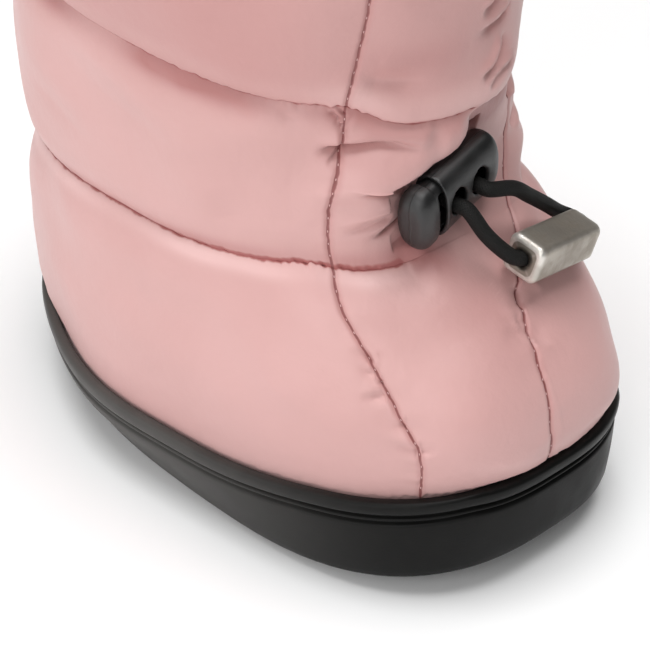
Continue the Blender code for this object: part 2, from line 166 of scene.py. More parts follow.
def fanFaces(ring, middle, flip):
    # triangles from each side of a ring to its middle point
    after = np.roll(ring, -1)
    sides = (after, ring) if flip else (ring, after)
    return np.stack([*sides, np.full(len(ring), middle)], axis=-1)


def skin(name, grid, wrapRows=False, caps=False, values=None, uvSteps=None):
    # a grid of points becomes a surface; caps close the first and last row with fans to their middles
    rows, cols = grid.shape[:2]
    points = grid.reshape(-1, 3)
    faces = [gridFaces(rows, cols, wrapRows)]
    values = {key: np.asarray(value).ravel() for key, value in (values or {}).items()}
    uv = None
    if uvSteps is not None:
        u, v = np.meshgrid(uvSteps[0], uvSteps[1])
        flat = np.stack([u, v], axis=-1)
        uv = np.stack([flat[:-1, :-1], flat[:-1, 1:], flat[1:, 1:], flat[1:, :-1]], axis=-2).reshape(-1, 2)
    if caps:
        ring = np.arange(cols)
        total = len(points)
        points = np.concatenate([points, grid[:1].mean(axis=1), grid[-1:].mean(axis=1)])
        faces.append(fanFaces(ring, total, True))
        faces.append(fanFaces(total - cols + ring, total + 1, False))
        values = {key: np.concatenate([value, value[:1], value[-1:]]) for key, value in values.items()}
        if uv is not None:
            uv = np.concatenate([uv, np.zeros((6 * cols, 2))])
    return putMesh(name, points, faces, values, uv)


def dress(item, body, material, nodes):
    # material, body, slot and the CAD nodes that the piece stands for
    item.data.materials.clear()
    item.data.materials.append(material)
    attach(item, body)
    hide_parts(*nodes)
    return item


# the sole's outline and the upper's wall, in the part's own sizes

soleForm = {
    "length": 142.0, "width": 85.0, "toePower": 2.75, "heelPower": 2.2, "toeSwing": 2.0,
    "toeRise": 6.0, "riseStart": 20.0, "riseRun": 50.0, "toeLift": 2.4, "top": 15.1, "gap": 0.3,
    "swell": 3.3, "swellCentre": -16.0, "swellReach": 26.0,
}
wallForm = {
    "riseFade": 62.0,
    "riseFull": 20.0,
    # height, heel, front, half width, front power, back power
    "sections": (
        (14.4, -67.9, 67.9, 39.4, 2.75, 2.20), (19.0, -67.9, 67.9, 39.4, 2.75, 2.20),
        (27.0, -68.2, 68.2, 39.6, 2.65, 2.20), (35.0, -68.3, 66.0, 39.0, 2.60, 2.25),
        (43.0, -68.4, 61.2, 38.2, 2.60, 2.30), (51.0, -68.5, 54.2, 37.2, 2.70, 2.30),
        (57.0, -68.6, 48.4, 36.4, 2.80, 2.30), (62.0, -68.7, 43.6, 36.0, 2.90, 2.30),
        (68.0, -68.8, 38.2, 35.8, 2.90, 2.30), (75.0, -69.0, 35.2, 35.8, 2.80, 2.30),
        (82.0, -69.2, 35.4, 35.8, 2.60, 2.30), (90.0, -69.4, 38.2, 36.0, 2.45, 2.30),
        (100.0, -69.6, 39.5, 36.2, 2.35, 2.30), (138.0, -70.2, 41.0, 37.6, 2.30, 2.30),
        (182.0, -70.6, 42.5, 38.6, 2.30, 2.30),
    ),
    # level, rise toward the front, dip in the middle of the front, cosine where the dip starts
    "crossSeams": (
        (18.5, 0.0, 0.0, 0.70), (60.4, 5.8, -2.8, 0.70), (98.2, -2.4, -3.2, 0.86),
        (134.0, 3.0, -1.0, 0.70), (165.0, 4.0, 0.0, 0.70), (172.0, 4.0, 0.0, 0.70),
    ),
    # height, angle on the right side, angle on the left side
    "frontSeams": (
        (14.0, -34.0, -1.0), (21.5, -34.0, -1.0), (28.0, -34.0, -1.5), (32.0, -34.2, -1.0),
        (37.0, -36.0, -0.5), (42.0, -36.6, 0.0), (45.5, -37.1, 0.6), (48.0, -37.3, 1.6),
        (50.0, -37.5, 2.4), (52.0, -37.8, 3.4), (56.0, -38.3, 7.5), (60.0, -37.4, 13.0),
        (64.0, -35.0, 16.0), (68.0, -32.9, 19.0), (73.0, -31.0, 23.0), (80.0, -29.9, 27.5),
        (88.0, -30.0, 29.5), (97.0, -30.0, 30.0), (106.0, -28.5, 30.0), (118.0, -26.0, 30.0),
        (140.0, -28.0, 31.0), (176.0, -31.0, 33.0),
    ),
    "rightColumn": -34.0,
    "leftColumn": 15.0,
    "columnReach": 45.0,
}
lockForm = {
    "centre": (42.0, -1.1, 75.95), "axis": (-0.167, 0.97, 0.178), "lean": 5.0, "start": -7.0, "end": 10.9,
    "halfDepth": 3.95, "halfHeight": 7.1, "wall": 0.8, "floor": 1.9, "buttonReach": 6.8, "buttonGap": 2.4,
    "buttonSize": 0.98, "stemPlay": 0.3, "stemTail": 6.4, "stemWindow": -7.9, "stemRail": 4.2,
    "holes": (-3.4, 3.3), "holeWidth": 5.0, "holeLow": -2.5, "holeHigh": 3.3,
    "seatGap": 0.4, "seatMargin": 0.25,
}


def toeRise(x):
    # lift of the sole toward the toe: a parabola past its start
    return soleForm["toeRise"] * np.clip((x - soleForm["riseStart"]) / soleForm["riseRun"], 0.0, 1.2) ** 2


def toeLift(x, height):
    # the sole's wall grows taller toward the toe, a little less at its tip
    share = ease(12.0, 45.0, x) * (1.0 - 0.5 * ease(66.0, 71.0, x))
    return soleForm["toeLift"] * share * ease(2.0, 13.0, height)


def sideSwell(x, y, height):
    # the outer side swells over the arch, fading down to the tread and up the upper
    share = ease(2.0, 13.0, height) * (1.0 - ease(20.0, 48.0, height)) * ease(0.0, 20.0, -y)
    return soleForm["swell"] * share * bell(x - soleForm["swellCentre"], soleForm["swellReach"])


def waist(angle):
    # 0 round the toe, 1 along the sides, half at the heel
    c = np.cos(angle)
    return ease(-0.85, -0.1, -c) * (1.0 - 0.5 * ease(0.4, 1.0, -c))


def soleRing(angle, height, inset, waistInset=0.0):
    # superellipse of the sole, drawn in by inset, swung at the toe and lifted with it
    c, s = np.cos(angle), np.sin(angle)
    inset = inset + waistInset * waist(angle)
    power = 2.0 / np.where(c > 0.0, soleForm["toePower"], soleForm["heelPower"])
    x = (soleForm["length"] / 2 - inset) * signedPower(c, power)
    y = (soleForm["width"] / 2 - inset) * signedPower(s, power)
    swing = soleForm["toeSwing"] * np.clip(2.0 * x / soleForm["length"], 0.0, 1.0) ** 2
    y = y + swing - sideSwell(x, y, height)
    return np.stack([x, y, height + toeRise(x) + toeLift(x, height)], axis=-1)


def wallPoint(angle, height):
    # point of the upper's wall: a superellipse whose sizes come from the section table at that height
    back, front, half, frontPower, backPower = np.moveaxis(smoothTable(wallForm["sections"], height), -1, 0)
    c, s = np.cos(angle), np.sin(angle)
    power = 2.0 / np.where(c > 0.0, frontPower, backPower)
    x = (front + back) / 2 + (front - back) / 2 * signedPower(c, power)
    low = np.clip((wallForm["riseFade"] - height) / (wallForm["riseFade"] - wallForm["riseFull"]), 0.0, 1.0)
    swing = soleForm["toeSwing"] * np.clip(2.0 * x / soleForm["length"], 0.0, 1.0) ** 2
    y = half * signedPower(s, power)
    y = y + swing * low - sideSwell(x, y, height)
    return np.stack([x, y, height + (toeRise(x) + toeLift(x, height)) * low], axis=-1)


def wallSlopes(angle, height):
    # steps of the wall along the angle and up the height, and the outward normal
    along = (wallPoint(angle + 0.001, height) - wallPoint(angle - 0.001, height)) / 0.002
    up = (wallPoint(angle, height + 0.05) - wallPoint(angle, height - 0.05)) / 0.1
    return along, up, unit(np.cross(along, up))


def seamHeight(row, angle):
    # height of a cross seam: level, raised with the cosine, dipped in the middle of the front
    level, rise, dip, start = wallForm["crossSeams"][row]
    c = np.cos(angle)
    return level + rise * c + dip * ease(start, 0.98, c)


def columnAngle(column, level):
    # columns bend so that two of them run along the front seams
    right, left = np.moveaxis(np.radians(smoothTable(wallForm["frontSeams"], level)), -1, 0)
    reach = math.radians(wallForm["columnReach"])
    angle = column
    for seam, home in ((right, wallForm["rightColumn"]), (left, wallForm["leftColumn"])):
        home = math.radians(home)
        pull = np.cos(np.clip((column - home) / reach, -1.0, 1.0) * math.pi / 2) ** 2
        angle = angle + (seam - home) * pull
    return angle, right, left


def lockFrame():
    # along the lock, up its face and out of its face: level directions leaned by an angle
    axis = unit(np.array(lockForm["axis"]))
    level = unit(np.array([axis[1], -axis[0], 0.0]))
    up = np.cross(level, axis)
    lean = math.radians(lockForm["lean"])
    return axis, up * math.cos(lean) + level * math.sin(lean), level * math.cos(lean) - up * math.sin(lean)


def lockPoint(along, tall, out):
    # a point of the cord lock from its own three directions
    axis, up, face = lockFrame()
    spread = [np.asarray(value, dtype=float)[..., None] for value in (along, tall, out)]
    return np.array(lockForm["centre"]) + spread[0] * axis + spread[1] * up + spread[2] * face


def pressSeat(points, room):
    # the wall is pressed back behind the cord lock and stands up steeply beside it
    axis, up, face = lockFrame()
    local = points - np.array(lockForm["centre"])
    start = lockForm["start"] - lockForm["buttonReach"]
    end = lockForm["end"]
    pastEnd = np.abs(local @ axis - (end + start) / 2) - (end - start) / 2 - lockForm["seatMargin"]
    pastSide = np.abs(local @ up) - lockForm["halfHeight"] - lockForm["seatMargin"]
    past = np.hypot(np.maximum(pastEnd, 0.0), np.maximum(pastSide, 0.0))
    limit = past * (2.6 + 0.6 * past) - lockForm["halfDepth"] - lockForm["seatGap"] - room
    return points - np.maximum(local @ face - limit, 0.0)[..., None] * face


# node groups shared by the materials

def newGroup(name, inputs, outputs):
    group = bpy.data.node_groups.new(name, "ShaderNodeTree")
    for label, kind, value in inputs:
        socket = group.interface.new_socket(label, in_out="INPUT", socket_type=kind)
        if value is not None:
            socket.default_value = value
    for label, kind in outputs:
        group.interface.new_socket(label, in_out="OUTPUT", socket_type=kind)
    return group, group.nodes.new("NodeGroupInput"), group.nodes.new("NodeGroupOutput")


def addNode(tree, kind, links=None, **settings):
    # one node, its settings, and what goes into its sockets: values, or sockets to link
    node = tree.nodes.new(kind)
    for key, value in settings.items():
        setattr(node, key, value)
    for key, value in (links or {}).items():
        if isinstance(value, bpy.types.NodeSocket):
            tree.links.new(value, node.inputs[key])
        else:
            node.inputs[key].default_value = value
    return node


def mathNode(tree, operation, *values, clamp=False):
    node = addNode(tree, "ShaderNodeMath", dict(enumerate(values)), operation=operation, use_clamp=clamp)
    return node.outputs[0]


def times(tree, first, second, clamp=False):
    return mathNode(tree, "MULTIPLY", first, second, clamp=clamp)


def plus(tree, first, second):
    return mathNode(tree, "ADD", first, second)


def readValue(tree, key):
    # a value that the mesh carries at its points
    return addNode(tree, "ShaderNodeAttribute", attribute_name=key).outputs["Fac"]


def stepNode(tree, value, low, high, start=0.0, end=1.0):
    # smooth step of a value from start to end
    ends = {"Value": value, "From Min": low, "From Max": high, "To Min": start, "To Max": end}
    return addNode(tree, "ShaderNodeMapRange", ends, interpolation_type="SMOOTHSTEP").outputs[0]


def mixColour(tree, factor, first, second):
    # the first colour at factor 0, the second at 1
    node = addNode(tree, "ShaderNodeMix", {"Factor": factor}, data_type="RGBA")
    for place, value in ((6, first), (7, second)):
        if isinstance(value, bpy.types.NodeSocket):
            tree.links.new(value, node.inputs[place])
        else:
            node.inputs[place].default_value = (*value, 1.0)
    return node.outputs[2]


def makeGrainGroup():
    # two noises of the object's own coordinates: a broad one for colour and a fine one for relief
    group, given, out = newGroup(
        "surfaceGrain",
        (("Broad", "NodeSocketFloat", 60.0), ("Fine", "NodeSocketFloat", 900.0)),
        (("Cloud", "NodeSocketFloat"), ("Grain", "NodeSocketFloat")),
    )
    place = addNode(group, "ShaderNodeTexCoord").outputs["Object"]
    for label, scale, detail in (("Cloud", "Broad", 3.0), ("Grain", "Fine", 2.0)):
        links = {"Vector": place, "Scale": given.outputs[scale], "Detail": detail}
        noise = addNode(group, "ShaderNodeTexNoise", links)
        group.links.new(noise.outputs[0], out.inputs[label])
    return group


def makeWeaveGroup():
    # plain weave from the cloth's own uv in millimetres: over and under threads as a product of two sines
    group, given, out = newGroup(
        "clothWeave", (("Pitch", "NodeSocketFloat", 0.4),), (("Height", "NodeSocketFloat"),)
    )
    place = addNode(group, "ShaderNodeUVMap", uv_map="cloth").outputs[0]
    split = addNode(group, "ShaderNodeSeparateXYZ", {0: place})
    waves = []
    for axis in ("X", "Y"):
        phase = mathNode(group, "DIVIDE", split.outputs[axis], given.outputs["Pitch"])
        waves.append(mathNode(group, "SINE", times(group, phase, turn)))
    group.links.new(times(group, *waves), out.inputs["Height"])
    return group


grainGroup = makeGrainGroup()
weaveGroup = makeWeaveGroup()


def newMaterial(name, **sockets):
    material = bpy.data.materials.new(name)
    material.use_nodes = True
    tree = material.node_tree
    shader = tree.nodes["Principled BSDF"]
    for key, value in sockets.items():
        shader.inputs[key.replace("_", " ")].default_value = value
    return material, tree, shader


def useGroup(tree, group, **values):
    node = addNode(tree, "ShaderNodeGroup")
    node.node_tree = group
    for key, value in values.items():
        node.inputs[key].default_value = value
    return node


def feed(tree, shader, **sockets):
    # node outputs into the shader's named sockets
    for key, value in sockets.items():
        tree.links.new(value, shader.inputs[key.replace("_", " ")])


def bumpInto(tree, shader, height, distance):
    # relief of that many millimetres from a height
    links = {"Height": height, "Distance": distance * mm, "Strength": 1.0}
    feed(tree, shader, Normal=addNode(tree, "ShaderNodeBump", links).outputs[0])


print("shared tools ready")


# drawcord with its bead

beadForm = {
    "centre": (54.0, 14.18, 61.46), "axis": (-0.107, 0.978, -0.178),
    "length": 19.5, "depth": 8.1, "height": 8.1, "bore": 4.8, "roll": 10.7,
    "round": 1.7, "endRound": 0.9, "lip": 0.45, "columns": 144, "bodyRows": 40,
    "shade": (0.33, 0.295, 0.25), "silver": (0.47, 0.43, 0.375),
    "patina": (0.085, 0.064, 0.045), "worn": (0.78, 0.75, 0.70),
}
cordForm = {
    "diameter": 3.0, "drop": -0.8, "columns": 28, "pathPoints": 40, "tubeRows": 420,
    # before the bead, from its near end: along, behind, above
    "lead": ((-6.0, 5.1, 4.9), (-3.6, 3.0, 2.2), (-1.6, 0.8, 0.5)),
    # past the bead, from its far end: along, behind, above
    "turn": (
        (1.6, 0.4, 0.1), (3.1, 2.3, 0.5), (2.7, 4.7, 1.0), (0.9, 6.1, 1.8),
        (-5.1, 5.9, 5.2), (-11.3, 6.0, 8.6), (-16.7, 6.4, 11.4),
    ),
    "colour": (0.0035, 0.0035, 0.0032), "threadColourAndCrestSheen": (0.013, 0.0125, 0.0115), "braid": 0.75,
}


def beadFrame():
    # along the bead, level in front of it, and up
    axis = unit(np.array(beadForm["axis"]))
    level = unit(np.array([axis[1], -axis[0], 0.0]))
    return axis, level, np.cross(level, axis)


def beadPoints(marks, start):
    # marks along, behind and above the bead, counted from a place on its axis
    axis, level, up = beadFrame()
    along, behind, above = np.array(marks, dtype=float).T[..., None]
    return np.array(beadForm["centre"]) + axis * (along + start) - level * behind + up * above


def cordRoute(form):
    # behind the near hole, through the bead, round its far end and back through the far hole
    outs = np.array([-lockForm["halfDepth"] - 0.1, 0.0, 3.5, 5.5])
    near, far = (lockPoint(np.full(4, hole), np.full(4, form["drop"]), outs) for hole in lockForm["holes"])
    end = beadForm["length"] / 2
    lead = beadPoints(form["lead"], -end)
    inside = beadPoints([(along, 0.0, 0.0) for along in (1.0 - end, 0.0, end - 0.5)], 0.0)
    past = beadPoints(form["turn"], end)
    return np.concatenate([near, lead, inside, past, far[::-1]])


def tubeGrid(line, radius, columns):
    # a circle carried along a line on frames that do not twist
    ahead = unit(np.gradient(line, axis=0))
    side = [unit(np.cross(ahead[0], [0.3, 0.2, 1.0]))]
    for step in ahead[1:]:
        side.append(unit(side[-1] - step * (side[-1] @ step)))
    side = np.array(side)
    over = np.cross(ahead, side)
    angle = np.linspace(0.0, turn, columns, endpoint=False)
    ring = side[:, None] * np.cos(angle)[None, :, None] + over[:, None] * np.sin(angle)[None, :, None]
    return line[:, None] + ring * radius


def makeCordMaterial(form):
    # braid: two sets of threads wound both ways round the cord, from its uv in millimetres, with painted
    # sheen on the crests of the threads
    material, tree, shader = newMaterial("braidedElastic", Roughness=0.62, Specular_IOR_Level=0.22)
    place = addNode(tree, "ShaderNodeUVMap", uv_map="cloth").outputs[0]
    split = addNode(tree, "ShaderNodeSeparateXYZ", {0: place})
    strands = []
    for sign in (1.0, -1.0):
        lean = times(tree, split.outputs["Y"], sign / form["braid"])
        wave = mathNode(tree, "SINE", times(tree, plus(tree, lean, split.outputs["X"]), turn))
        strands.append(mathNode(tree, "ABSOLUTE", wave))
    height = mathNode(tree, "MAXIMUM", *strands)
    grain = useGroup(tree, grainGroup, Broad=300.0, Fine=4200.0)
    # painted sheen: the crests of the braid get the paler colour, uneven by the cloud
    lit = times(tree, stepNode(tree, height, 0.55, 1.0), grain.outputs["Cloud"])
    feed(tree, shader, Base_Color=mixColour(tree, lit, form["colour"], form["threadColourAndCrestSheen"]))
    bumpInto(tree, shader, plus(tree, height, times(tree, grain.outputs["Grain"], 0.5)), 0.12)
    return material


def makeCord(form):
    # round tube along the route, with six strands round it
    route = cordRoute(form)
    line, length = smoothLine(route, form["tubeRows"])
    grid = tubeGrid(line, form["diameter"] / 2, form["columns"])
    strands = np.linspace(0.0, 6.0, form["columns"] + 1)
    steps = np.linspace(0.0, length, form["tubeRows"])
    cord = skin("drawcord_braid", grid, caps=True, uvSteps=(strands, steps))
    dress(cord, "boot", makeCordMaterial(form), ["drawcord"])
    path = (smoothLine(route, form["pathPoints"])[0] + partMove) * mm
    return cord, path, length


def makeBeadMaterial(form):
    # antique silver: bright where the form's edges wear, dark patina in flat and shaded places
    material, tree, shader = newMaterial("antiqueSilver", Metallic=0.72)
    grain = useGroup(tree, grainGroup, Broad=260.0, Fine=1800.0)
    cloud = stepNode(tree, grain.outputs["Cloud"], 0.36, 0.66)
    silver = mixColour(tree, cloud, form["shade"], form["silver"])
    dark = times(tree, readValue(tree, "patina"), plus(tree, 0.55, times(tree, cloud, 0.45)))
    aged = mixColour(tree, dark, silver, form["patina"])
    edge = times(tree, readValue(tree, "worn"), plus(tree, 0.5, times(tree, cloud, 0.5)))
    feed(
        tree, shader, Base_Color=mixColour(tree, edge, aged, form["worn"]),
        Roughness=stepNode(tree, grain.outputs["Cloud"], 0.3, 0.7, 0.50, 0.36),
    )
    bumpInto(tree, shader, grain.outputs["Grain"], 0.07)
    return material


def makeBead(form):
    # rounded-rectangle tube: out along the body, over the end, back through the round bore
    axis, level, up = beadFrame()
    roll = math.radians(form["roll"])
    deep = level * math.cos(roll) - up * math.sin(roll)
    tall = level * math.sin(roll) + up * math.cos(roll)
    angle = ringAngles(form["columns"])
    half, corner = np.array([form["depth"], form["height"]]) / 2, form["round"]
    ray = np.stack([np.cos(angle), np.sin(angle)], axis=-1)
    core = half - corner
    # push each ray out to the rounded rectangle by walking its distance field
    reach = np.full(len(angle), half.max())
    for _ in range(60):
        past = np.abs(ray * reach[:, None]) - core
        field = np.linalg.norm(np.maximum(past, 0.0), axis=-1) + np.minimum(past.max(axis=-1), 0.0) - corner
        reach = reach - field * 0.7
    end, bore, soft, lip = form["length"] / 2, form["bore"] / 2, form["endRound"], form["lip"]
    body = form["bodyRows"]
    curve = np.linspace(0.0, math.pi / 2, 9)[1:]
    across = np.linspace(0.0, 1.0, 8)[1:]
    # rows as place along, share of the outer form against the bore, and inset: body, round, end face, lip
    rows = [
        (np.linspace(-end + soft, end - soft, body), np.ones(body), np.zeros(body)),
        (end - soft + soft * np.sin(curve), np.ones(8), soft * (1.0 - np.cos(curve))),
        (np.full(7, end), 1.0 - across, np.full(7, soft)),
        (end - lip + lip * np.cos(curve), np.zeros(8), lip * np.sin(curve) - lip),
    ]
    alongs, shares, insets = np.concatenate(rows, axis=1)
    # the far half continues through the bore to the near end, mirrored
    through = np.linspace(end - lip, lip - end, 14)[1:-1]
    alongs = np.concatenate([alongs, through, -alongs[body:][::-1]])
    shares, insets = (np.concatenate([v, 0.0 * through, v[body:][::-1]]) for v in (shares, insets))
    hole = bore + np.where(shares == 0.0, -insets, 0.0)[:, None]
    size = shares[:, None] * (reach[None, :] - insets[:, None]) + (1.0 - shares[:, None]) * hole
    x, y = size * ray[:, 0], size * ray[:, 1]
    grid = np.array(form["centre"]) + alongs[:, None, None] * axis + x[..., None] * deep + y[..., None] * tall
    # wear where the outer corners and end edges are, patina down in the flats and in the bore
    nearCorner = bell(half - np.abs(ray) * reach[:, None], 0.5).prod(axis=-1)
    endEdge = bell(np.abs(np.abs(alongs) - end + soft * 0.3), 0.7) * (shares > 0.6)
    worn = np.clip(nearCorner[None, :] * 1.3 + endEdge[:, None], 0.0, 1.0) * (shares > 0.1)[:, None]
    flank = bell(alongs / end, 0.85)[:, None] * (1.0 - np.clip(nearCorner * 2.0, 0, 1))[None, :] * 0.35
    patina = np.where(shares[:, None] == 0.0, 0.95, flank + 0.5 * ((shares > 0.0) & (shares < 1.0))[:, None])
    bead = skin("cord_bead_silver", grid, wrapRows=True, values={"worn": worn, "patina": patina})
    return dress(bead, "boot", makeBeadMaterial(form), ["cord_bead"])


cord, cordPath, cordLength = makeCord(cordForm)
bead = makeBead(beadForm)
print("cord of", round(cordLength, 1), "mm and bead made")


# quilted upper

nylonLook = {
    "colour": (0.635, 0.368, 0.352),
    # painted shade and painted light: the mesh's shading value mixes the cloth toward the next two colours
    "paintedShadeColour": (0.44, 0.185, 0.175),
    "paintedLightColour": (0.735, 0.468, 0.45),
    # painted shade in the seams
    "seamShadeColour": (0.37, 0.105, 0.10),
    "threadColourAndCrestSheen": (0.70, 0.46, 0.44),
    "roughness": 0.46,
}
quiltForm = {
    "columns": 640,
    "backRows": 7,
    "backDepth": 1.0,
    "seamDepth": 0.2,
    # name, lower seam, puff, roll at the bottom and at the top (quick, slow, quick share), dome, rows
    "baffles": (
        ("quilt_foot", 0, 3.0, (1.0, 20.0, 0.05), (0.9, 9.0, 0.22), 0.30, 100),
        ("quilt_ankle", 1, 2.8, (0.8, 6.5, 0.08), (0.9, 8.0, 0.10), 0.30, 108),
        ("quilt_shaft", 2, 3.4, (1.0, 6.5, 0.46), (0.9, 9.0, 0.22), 0.50, 76),
        ("quilt_top", 3, 2.8, (1.1, 7.0, 0.42), (0.9, 6.0, 0.30), 0.30, 52),
        ("collar_hem", 4, 1.4, (0.9, 1.5, 0.60), (0.9, 1.8, 0.60), 0.20, 26),
    ),
    # painted light and painted shade along the lower and the upper edge: amount (paler above zero, deeper
    # below), distance from it, reach
    "paintedEdgeShading": (
        ((0.35, 0.0, 4.0), (0.75, 1.5, 1.2)),
        ((-0.42, 0.9, 1.5), (-0.38, 1.2, 2.2)),
        ((0.55, 2.4, 2.6), (0.4, 1.5, 1.5)),
        ((-0.35, 0.9, 1.5), (0.3, 1.5, 1.5)),
        ((-0.2, 0.5, 1.0), (0.0, 1.0, 1.0)),
    ),
    # painted shade and painted light in patches round the cord lock: angle, height, reach along and up,
    # amount
    "lightAndShadePatches": (
        (-10.0, 64.6, 4.0, 3.0, -1.0), (-5.0, 62.0, 4.0, 3.0, -0.6), (-2.0, 54.0, 7.0, 5.0, -0.3),
        (0.0, 46.0, 9.0, 6.0, -0.18), (7.0, 86.5, 3.6, 4.0, -0.9), (14.0, 85.5, 3.8, 3.6, -0.9),
        (20.0, 86.8, 3.2, 3.0, -0.8), (25.5, 86.4, 3.0, 2.4, -0.7), (31.0, 76.0, 6.0, 6.0, 0.5),
        (-12.0, 105.0, 12.0, 4.0, -0.3), (-27.0, 89.0, 6.0, 3.0, -0.25), (-26.0, 95.0, 9.0, 2.0, -0.3),
    ),
    # painted shade over the shaft, the top and the hem, stronger on the outer side
    "dullCloudAndUpperShade": 0.24,
    "skirt": 15.7,
    "valley": 0.5, "valleyWidth": 0.5, "broadValley": 0.4, "broadWidth": 4.5,
    "ripple": 0.30, "gather": 0.17, "serration": 0.26, "jag": 0.06, "flare": 1.0, "flareReach": 4.5,
    # slack over the cord lock: size, height at the middle, tilt, reach below and above
    "slack": 5.5, "slackHeight": 88.9, "slackTilt": 15.9, "slackBelow": 4.8, "slackAbove": 9.0,
    # share of the slack that the ankle loses beside the lock, where that starts and ends, and how soon
    "tuck": 0.85, "tuckStart": -0.03, "tuckEnd": 0.09, "tuckReach": 2.2,
    # gap given to a seam that is hidden and to the back of a pad, steps round the upper for its waves
    "lostGap": 9.0, "backGap": 5.0, "gatherScale": 22.0, "toothScale": 45.0, "clothScale": 50.0,
}
# creases: marks as angle and height, width, depth, ridge above, fade at the first and last tip
ankleCreases = (
    (
        ((-37, 88.2), (-31, 88.4), (-26, 88.9), (-21, 89.3), (-15, 89.3), (-7, 88.6)),
        0.9, 4.4, 1.3, 0.25, 0.35,
    ),
    (((-32, 91.0), (-27, 91.4), (-20, 91.0), (-14, 90.4)), 1.6, 1.4, 0.4, 0.15, 0.5),
    (((-27, 80.3), (-22.5, 81.0), (-16.5, 80.2), (-8, 78.3)), 0.8, 3.4, 1.4, 0.7, 0.05),
    (((-23, 67.6), (-18, 68.5), (-14, 69.5), (-9, 71.0)), 0.6, 2.2, 0.7, 0.6, 0.05),
    (((-30, 69.3), (-20.5, 71.2), (-13, 72.2)), 1.0, 1.2, 0.5, 0.5, 0.2),
    (((-10, 91.2), (-7, 90.2), (-3.5, 89.6)), 2.2, 1.8, 0.0, 0.5, 0.5),
    (((-11, 84.6), (-8.5, 83.6), (-6, 82.6)), 1.6, 1.4, 0.0, 0.5, 0.5),
    (((-35.6, 95.8), (-33.4, 94.8), (-31.2, 93.7)), 0.4, 2.2, 0.6, 0.6, 0.05),
    (((-32.6, 95.8), (-31.4, 95.4), (-30.1, 94.6)), 0.35, 2.0, 0.5, 0.6, 0.05),
    (((-33.0, 93.8), (-31.9, 93.2), (-30.5, 92.5)), 0.35, 1.6, 0.4, 0.6, 0.05),
    (((-33.4, 86.5), (-31.4, 87.0), (-29.5, 87.7)), 0.4, 1.8, 0.5, 0.6, 0.05),
    (((-27, 95.6), (-28.4, 94.0), (-29.6, 92.4)), 0.5, 0.5, 0.2, 0.6, 0.05),
    (((41, 78.6), (33, 76.4), (28, 74.0)), 1.1, 1.2, 0.7, 0.7, 0.2),
    (((36, 88.0), (31, 85.4), (27, 82.4)), 1.0, 1.0, 0.7, 0.6, 0.2),
    (((-62, 95.6), (-56, 93.4), (-51, 93.8)), 1.3, 0.7, 0.2, 0.5, 0.5),
    (((-84, 97.0), (-76, 94.2), (-70, 95.0)), 1.6, 0.7, 0.2, 0.5, 0.5),
    (((-48, 96.0), (-44, 93.6), (-40, 94.6)), 1.0, 0.6, 0.2, 0.5, 0.5),
    (((-72, 66.0), (-60, 71.0), (-50, 73.0)), 3.0, 0.5, 0.4, 0.5, 0.5),
    (((-104, 90.0), (-86, 84.0), (-66, 80.0)), 3.2, 0.6, 0.5, 0.5, 0.5),
    (((-120, 80.0), (-100, 74.0), (-84, 70.0)), 3.0, 0.6, 0.5, 0.5, 0.5),
)
footCreases = (
    (((-41.5, 51.0), (-38.5, 49.9), (-36.8, 48.5)), 0.7, 0.85, 0.35, 0.8, 0.05),
    (((-42.0, 47.2), (-40.0, 46.9), (-37.6, 46.3)), 0.7, 0.85, 0.35, 0.8, 0.05),
    (((-40.5, 44.6), (-38.5, 44.8), (-36.8, 44.9)), 0.6, 0.76, 0.35, 0.8, 0.05),
    (((-45.0, 41.2), (-43.0, 41.7), (-37.5, 42.8)), 0.8, 0.95, 0.45, 0.8, 0.05),
    (((-39.0, 36.6), (-37.0, 36.8), (-35.4, 36.8)), 0.6, 0.66, 0.35, 0.8, 0.05),
    (((-42.0, 33.0), (-39.5, 32.4), (-34.0, 31.0)), 0.8, 0.95, 0.45, 0.8, 0.05),
    (((-38.5, 28.6), (-36.5, 28.0), (-34.2, 27.3)), 0.6, 0.76, 0.35, 0.8, 0.05),
    (((-38.5, 26.2), (-36.5, 25.8), (-34.2, 25.1)), 0.6, 0.76, 0.35, 0.8, 0.05),
    (((-42.0, 23.4), (-40.0, 22.9), (-34.2, 21.4)), 0.7, 0.85, 0.35, 0.8, 0.05),
    (((-29.0, 31.0), (-31.0, 31.2), (-33.4, 31.0)), 0.6, 0.66, 0.35, 0.8, 0.05),
    (((4.0, 54.0), (3.3, 52.0), (2.4, 49.6)), 1.1, 1.2, 0.0, 0.4, 0.3),
    (((-2.5, 49.6), (-0.5, 49.2), (2.0, 47.8)), 0.8, 0.55, 0.25, 0.7, 0.05),
    (((-3.5, 48.0), (-1.5, 47.7), (1.2, 46.4)), 0.8, 0.55, 0.25, 0.7, 0.05),
    (((4.5, 43.4), (2.5, 44.0), (0.6, 45.4)), 0.8, 0.45, 0.25, 0.7, 0.05),
    (((3.0, 53.6), (7.0, 53.4), (9.0, 51.8), (8.4, 49.6)), 1.0, -0.55, 0.0, 0.3, 0.4),
    (((-66, 30.0), (-58, 36.0), (-52, 44.0)), 4.0, 0.35, 0.3, 0.5, 0.5),
    (((-100, 40.0), (-88, 46.0), (-78, 47.0)), 3.6, 0.35, 0.3, 0.5, 0.5),
)
shaftCreases = (
    (((-28, 103.6), (-24, 102.0), (-17, 101.0), (-8, 101.4)), 2.2, 1.4, 0.4, 0.3, 0.5),
    (((2.0, 97.3), (5.2, 98.1), (8.3, 99.6), (10.5, 101.8), (12.1, 104.1)), 0.8, 1.8, 1.0, 0.3, 0.2),
    (((0.0, 107.2), (5.0, 107.0), (10.6, 107.9), (14.0, 109.0)), 0.8, 1.6, 0.8, 0.5, 0.1),
    (((4.5, 95.0), (8.2, 96.6), (11.4, 97.3), (16.0, 97.6)), 0.6, 1.4, 0.7, 0.2, 0.2),
    (((2.0, 110.4), (5.9, 111.7), (10.0, 113.4)), 0.8, 1.4, 0.7, 0.4, 0.1),
)
